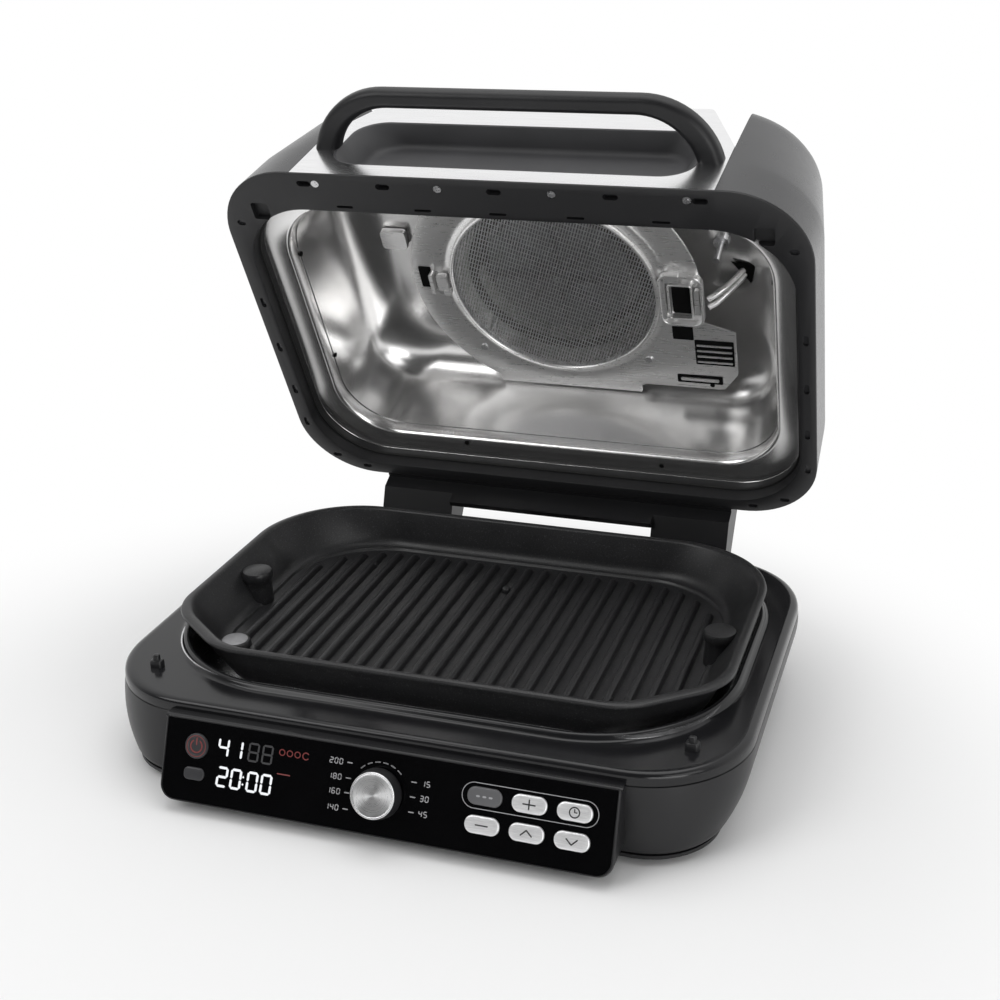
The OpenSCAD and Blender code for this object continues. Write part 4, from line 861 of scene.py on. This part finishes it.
def hoop(w, d, r, thick, u0, u1, x, y):
    """Upright rectangular frame with round corners."""
    steps = [(0, u1), (0, u0 + 0.5), (0.5, u0), (thick - 0.5, u0), (thick, u0 + 0.5), (thick, u1)]
    return loft([level(rrect(w - 2 * i, d - 2 * i, r - i, x, y, 6), u) for i, u in steps], (False, False))


latch = [hoop(36, 52, 9, 2.2, 78, 84, 105, 2), hoop(20, 36, 3, 1.6, 77, 84, 105, 2)]
latch += [block(12, 7, 5, 99, -21, 77.5), block(5, 40, 4, 90.6, 2, 79, 0.8, 2)]
latch += [block(4, 24, 5, 118, 2, 78, 0.8, 1.5), block(9, 16, 5, -95, -1, 78.6, 0.8, 2)]
latch += [block(3, 20, 7, -103.5, -1, 76.6, 0.6, 1), block(6, 5, 6, -92, 9, 78)]
piece("clips", "lid", FAN, join(*latch), guard_steel, "shield_clips")
# Thin black plates on the guard, the roof and the liner walls where windows, slots and holes are: painted
# shade standing in for the openings
dark = [block(16, 32, 0.5, 105, 2, 83.4, 0.1, 2), block(17, 18, 0.4, 103, 38, 83.5, 0.1, 1)]
dark += [block(11, 22, 0.4, -110, -3, 83.5, 0.1, 1), block(32, 27, 0.4, 128, 60, 83.5, 0.1, 1)]
dark.append(block(38, 9, 0.4, 114, 91, 83.5, 0.1, 1))
dark.append(moved(lathe([(0, 83.5), (2, 83.5), (2, 84)], 16), 124, 97, 0))
dark.append(polygon_plate([(141, -18), (160, -15), (156, 3)], 106.6, 107.2))
dark += [moved(lathe([(0, 20.5), (2, 20.5), (2, 21.4)], 16), x, y, 0) for x, y in ((-80, 128), (91, 133))]
for x, y, height in ((-187, -65, 32), (-187, 46, 33), (187, -65, 32), (187, 46, 33)):
    turn = Matrix.Translation((x, y, height)) @ Matrix.Rotation(pi / 2, 4, "Y")
    dark.append(placed(lathe([(0, -0.7), (2, -0.7), (2, 0.7), (0, 0.7)], 16), turn))
piece("clip_slot_shade", "lid", FAN, join(*dark), painted_hole_shade)
bars = [block(29, 1.6, 1.2, 128, y, 82.6, 0.3, 0.6) for y in (52, 58, 64, 70)]
bars += [block(32, 3.2, 1.4, 114, 91, 82.6, 0.4, 1.2), block(22, 18, 6, -141, -24, 102, 1, 3)]
bars += [tube([(126, 2, 84), (131, -1, 85.5), (139, -5, 91), (147, -9, 100), (150, -10, 107)], 2.6, 12)]
bars += [tube([(126, 10, 84), (132, 7, 86), (140, 2, 93), (148, -4, 101), (151, -6, 107)], 2.6, 12)]
piece("guard_fittings", "lid", FAN, join(*bars), guard_steel)


# Handle: a rounded section swept round a U that stands square on the hood's face
def handle_ring(outer, inner):
    """Section between an outer and an inner point (x, n) of the U."""
    outer, inner = Vector(outer), Vector(inner)
    middle = (outer + inner) / 2
    across = (outer - inner).normalized()
    high = handle_foot_h - (handle_foot_h - handle_bar_h) * max(middle.y, 0) / handle_reach
    return [
        (middle.x + across.x * p, handle_v + q, middle.y + across.y * p)
        for p, q in rrect((outer - inner).length, high, 5.5, n=6)
    ]


inner_half = handle_half + handle_t - handle_leg_t
inner_r = handle_r - handle_t
sink = handle_r - handle_reach
legs = []
for a in [radians(8 + 82 * i / 16) for i in range(17)]:
    outside = (handle_half + handle_r * cos(a), handle_r * sin(a) - sink)
    inside = (inner_half + inner_r * cos(a), inner_r * sin(a) - sink)
    legs.append((outside, inside))
path = [((-p[0], p[1]), (-q[0], q[1])) for p, q in legs]
path += [((x, handle_reach), (x, handle_reach - handle_t)) for x in (-48, 0, 48)]
path += legs[::-1]
loop = loft([handle_ring(p, q) for p, q in path])
piece("handle_loop", "lid", HOOD, loop, handle_black, "handle")


# Pocket behind the handle, with sloping ends
def pocket_ring(end, inset, n):
    outline = rrect(pocket_w - 2 * end, pocket_h - 2 * inset, pocket_r - inset / 2, y=pocket_v, n=12)
    return level(outline, n)


pocket_steps = [(-1.6, -1.6, -1.2), (-1.4, -1.4, -0.1), (-0.8, -0.8, 0.25), (0, 0, 0), (0.8, 0.6, -0.8)]
pocket_steps += [(11, 1.6, -15), (12.6, 2.4, -17.2), (15, 4, -18.6), (19, 8, -19)]
rings = [pocket_ring(*step) for step in pocket_steps]
piece("pocket", "lid", HOOD, loft(rings, (False, True)), pocket_grey, "handle_pocket")

# CAD nodes that keep their shape
dress(fascia_black, "fascia")
dress(well_steel, "well_liner", "plate_rests", "element_clips")
dress(element_steel, "lower_element", "upper_element")
dress(handle_black, "hinge_arms", "hinge_brackets", bevel=0.8)
dress(brass, "hinge_bushes")
dress(screw_steel, "hinge_pins", "bracket_screws", "cover_screws", "plate_sensor", "lid_sensor")
dress(screw_steel, "encoder_shaft", "fan_shaft")
dress(housing_black, "bottom_cover", "grease_cup", "cup_runners", "cord_gland", bevel=0.4)
dress(rubber, "rubber_feet", bevel=0.8)
dress(board_green, "control_board", "power_board")
dress(motor_grey, "encoder_body", "convection_fan", "cooling_fan", "fan_motor", "motor_bracket")
dress(mark_dark, "display_module")


# Floor, light and camera
def area(name, at, target, size, watts):
    lamp = bpy.data.lights.new(name, "AREA")
    lamp.shape = "RECTANGLE"
    lamp.size, lamp.size_y = size
    lamp.energy = watts
    obj = bpy.data.objects.new(name, lamp)
    bpy.context.scene.collection.objects.link(obj)
    at = Vector(at)
    aim = (Vector(target) - at).to_track_quat("-Z", "Y")
    obj.matrix_world = Matrix.Translation(at) @ aim.to_matrix().to_4x4()


def soft_step(tree, value, start, end, low=0.0, high=1.0):
    """Goes smoothly from low to high while the value goes from start to end."""
    node = tree.nodes.new("ShaderNodeMapRange")
    node.interpolation_type = "SMOOTHSTEP"
    for socket, limit in zip(("From Min", "From Max", "To Min", "To Max"), (start, end, low, high)):
        node.inputs[socket].default_value = limit
    tree.links.new(value, node.inputs["Value"])
    return node.outputs["Result"]


def combine(tree, operation, a, b):
    node = tree.nodes.new("ShaderNodeMath")
    node.operation = operation
    tree.links.new(a, node.inputs[0])
    tree.links.new(b, node.inputs[1])
    return node.outputs[0]


def studio_world():
    """White where the camera sees it. As a light it is weak in front of the part and strong behind it."""
    world = bpy.data.worlds.new("studio")
    world.use_nodes = True
    tree = world.node_tree
    back = tree.nodes["Background"]
    back.inputs["Color"].default_value = (1, 1, 1, 1)
    where = tree.nodes.new("ShaderNodeTexCoord")
    axes = tree.nodes.new("ShaderNodeSeparateXYZ")
    tree.links.new(where.outputs["Generated"], axes.inputs[0])
    light = soft_step(tree, axes.outputs["Y"], -0.75, 0.35, 0.05, 0.9)
    rays = tree.nodes.new("ShaderNodeLightPath")
    strength = combine(tree, "MAXIMUM", rays.outputs["Is Camera Ray"], light)
    tree.links.new(strength, back.inputs["Strength"])
    return world


def pale_floor():
    """Pale ground that takes shadows near the part and fades to plain white away from it."""
    values = {"Base Color": (0.85, 0.85, 0.85, 1), "Roughness": 0.9, "Specular IOR Level": 0.1}
    material, main = shader("floor_pale", values)
    tree = material.node_tree
    white = tree.nodes.new("ShaderNodeEmission")
    where = tree.nodes.new("ShaderNodeTexCoord")
    far = tree.nodes.new("ShaderNodeVectorMath")
    far.operation = "DISTANCE"
    far.inputs[1].default_value = (-0.02, -0.24, 0)
    tree.links.new(where.outputs["Object"], far.inputs[0])
    fade = soft_step(tree, far.outputs["Value"], 0.3, 0.58)
    rays = tree.nodes.new("ShaderNodeLightPath")
    seen = combine(tree, "MAXIMUM", rays.outputs["Is Camera Ray"], rays.outputs["Is Glossy Ray"])
    mix = tree.nodes.new("ShaderNodeMixShader")
    tree.links.new(combine(tree, "MULTIPLY", fade, seen), mix.inputs["Fac"])
    tree.links.new(main.outputs["BSDF"], mix.inputs[1])
    tree.links.new(white.outputs["Emission"], mix.inputs[2])
    tree.links.new(mix.outputs["Shader"], tree.nodes["Material Output"].inputs["Surface"])
    return material


area("key", (-1.1, -1.3, 1.5), (0, 0, 0.15), (1.2, 1.2), 14)
area("fill", (1.5, -1.2, 0.9), (0, 0, 0.15), (1.2, 1.0), 6)
area("top", (0, 0.1, 1.9), (0, 0, 0.1), (1.6, 1.6), 12)
area("low", (1.0, -1.4, 0.25), (-0.05, 0.1, 0.28), (1.0, 0.4), 5)

scene = bpy.context.scene
scene.world = studio_world()
scene.view_settings.view_transform = "Standard"

floor_r = 6000
floor_shape = loft([level(circle(floor_r, 96), 0)], (False, True))
floor = make("floor", floor_shape, Matrix.Identity(4), piece_sharp)
floor.data.materials.append(pale_floor())

# Place, turns and focal length of the camera, solved from points of the photo
camera_at = Vector((0.34248, -0.9256, 0.57839))
yaw, pitch, roll = radians(18.97), radians(22.79), radians(1.36)
photo_px, focal_px, sensor_mm = 1000, 1508.55, 36
ahead = Vector((-sin(yaw), cos(yaw), 0))
right = Vector((cos(yaw), sin(yaw), 0))
up = Vector((0, 0, 1))
look = ahead * cos(pitch) - up * sin(pitch)
down = -(up * cos(pitch) + ahead * sin(pitch))
camera_right = right * cos(roll) + down * sin(roll)
camera_down = down * cos(roll) - right * sin(roll)
axes = Matrix((camera_right, -camera_down, -look)).transposed().to_4x4()
camera = bpy.data.objects.new("camera", bpy.data.cameras.new("camera"))
scene.collection.objects.link(camera)
camera.matrix_world = Matrix.Translation(BASE @ camera_at) @ axes
camera.data.sensor_width = sensor_mm
camera.data.lens = sensor_mm * focal_px / photo_px
camera.data.clip_end = 50
scene.camera = camera
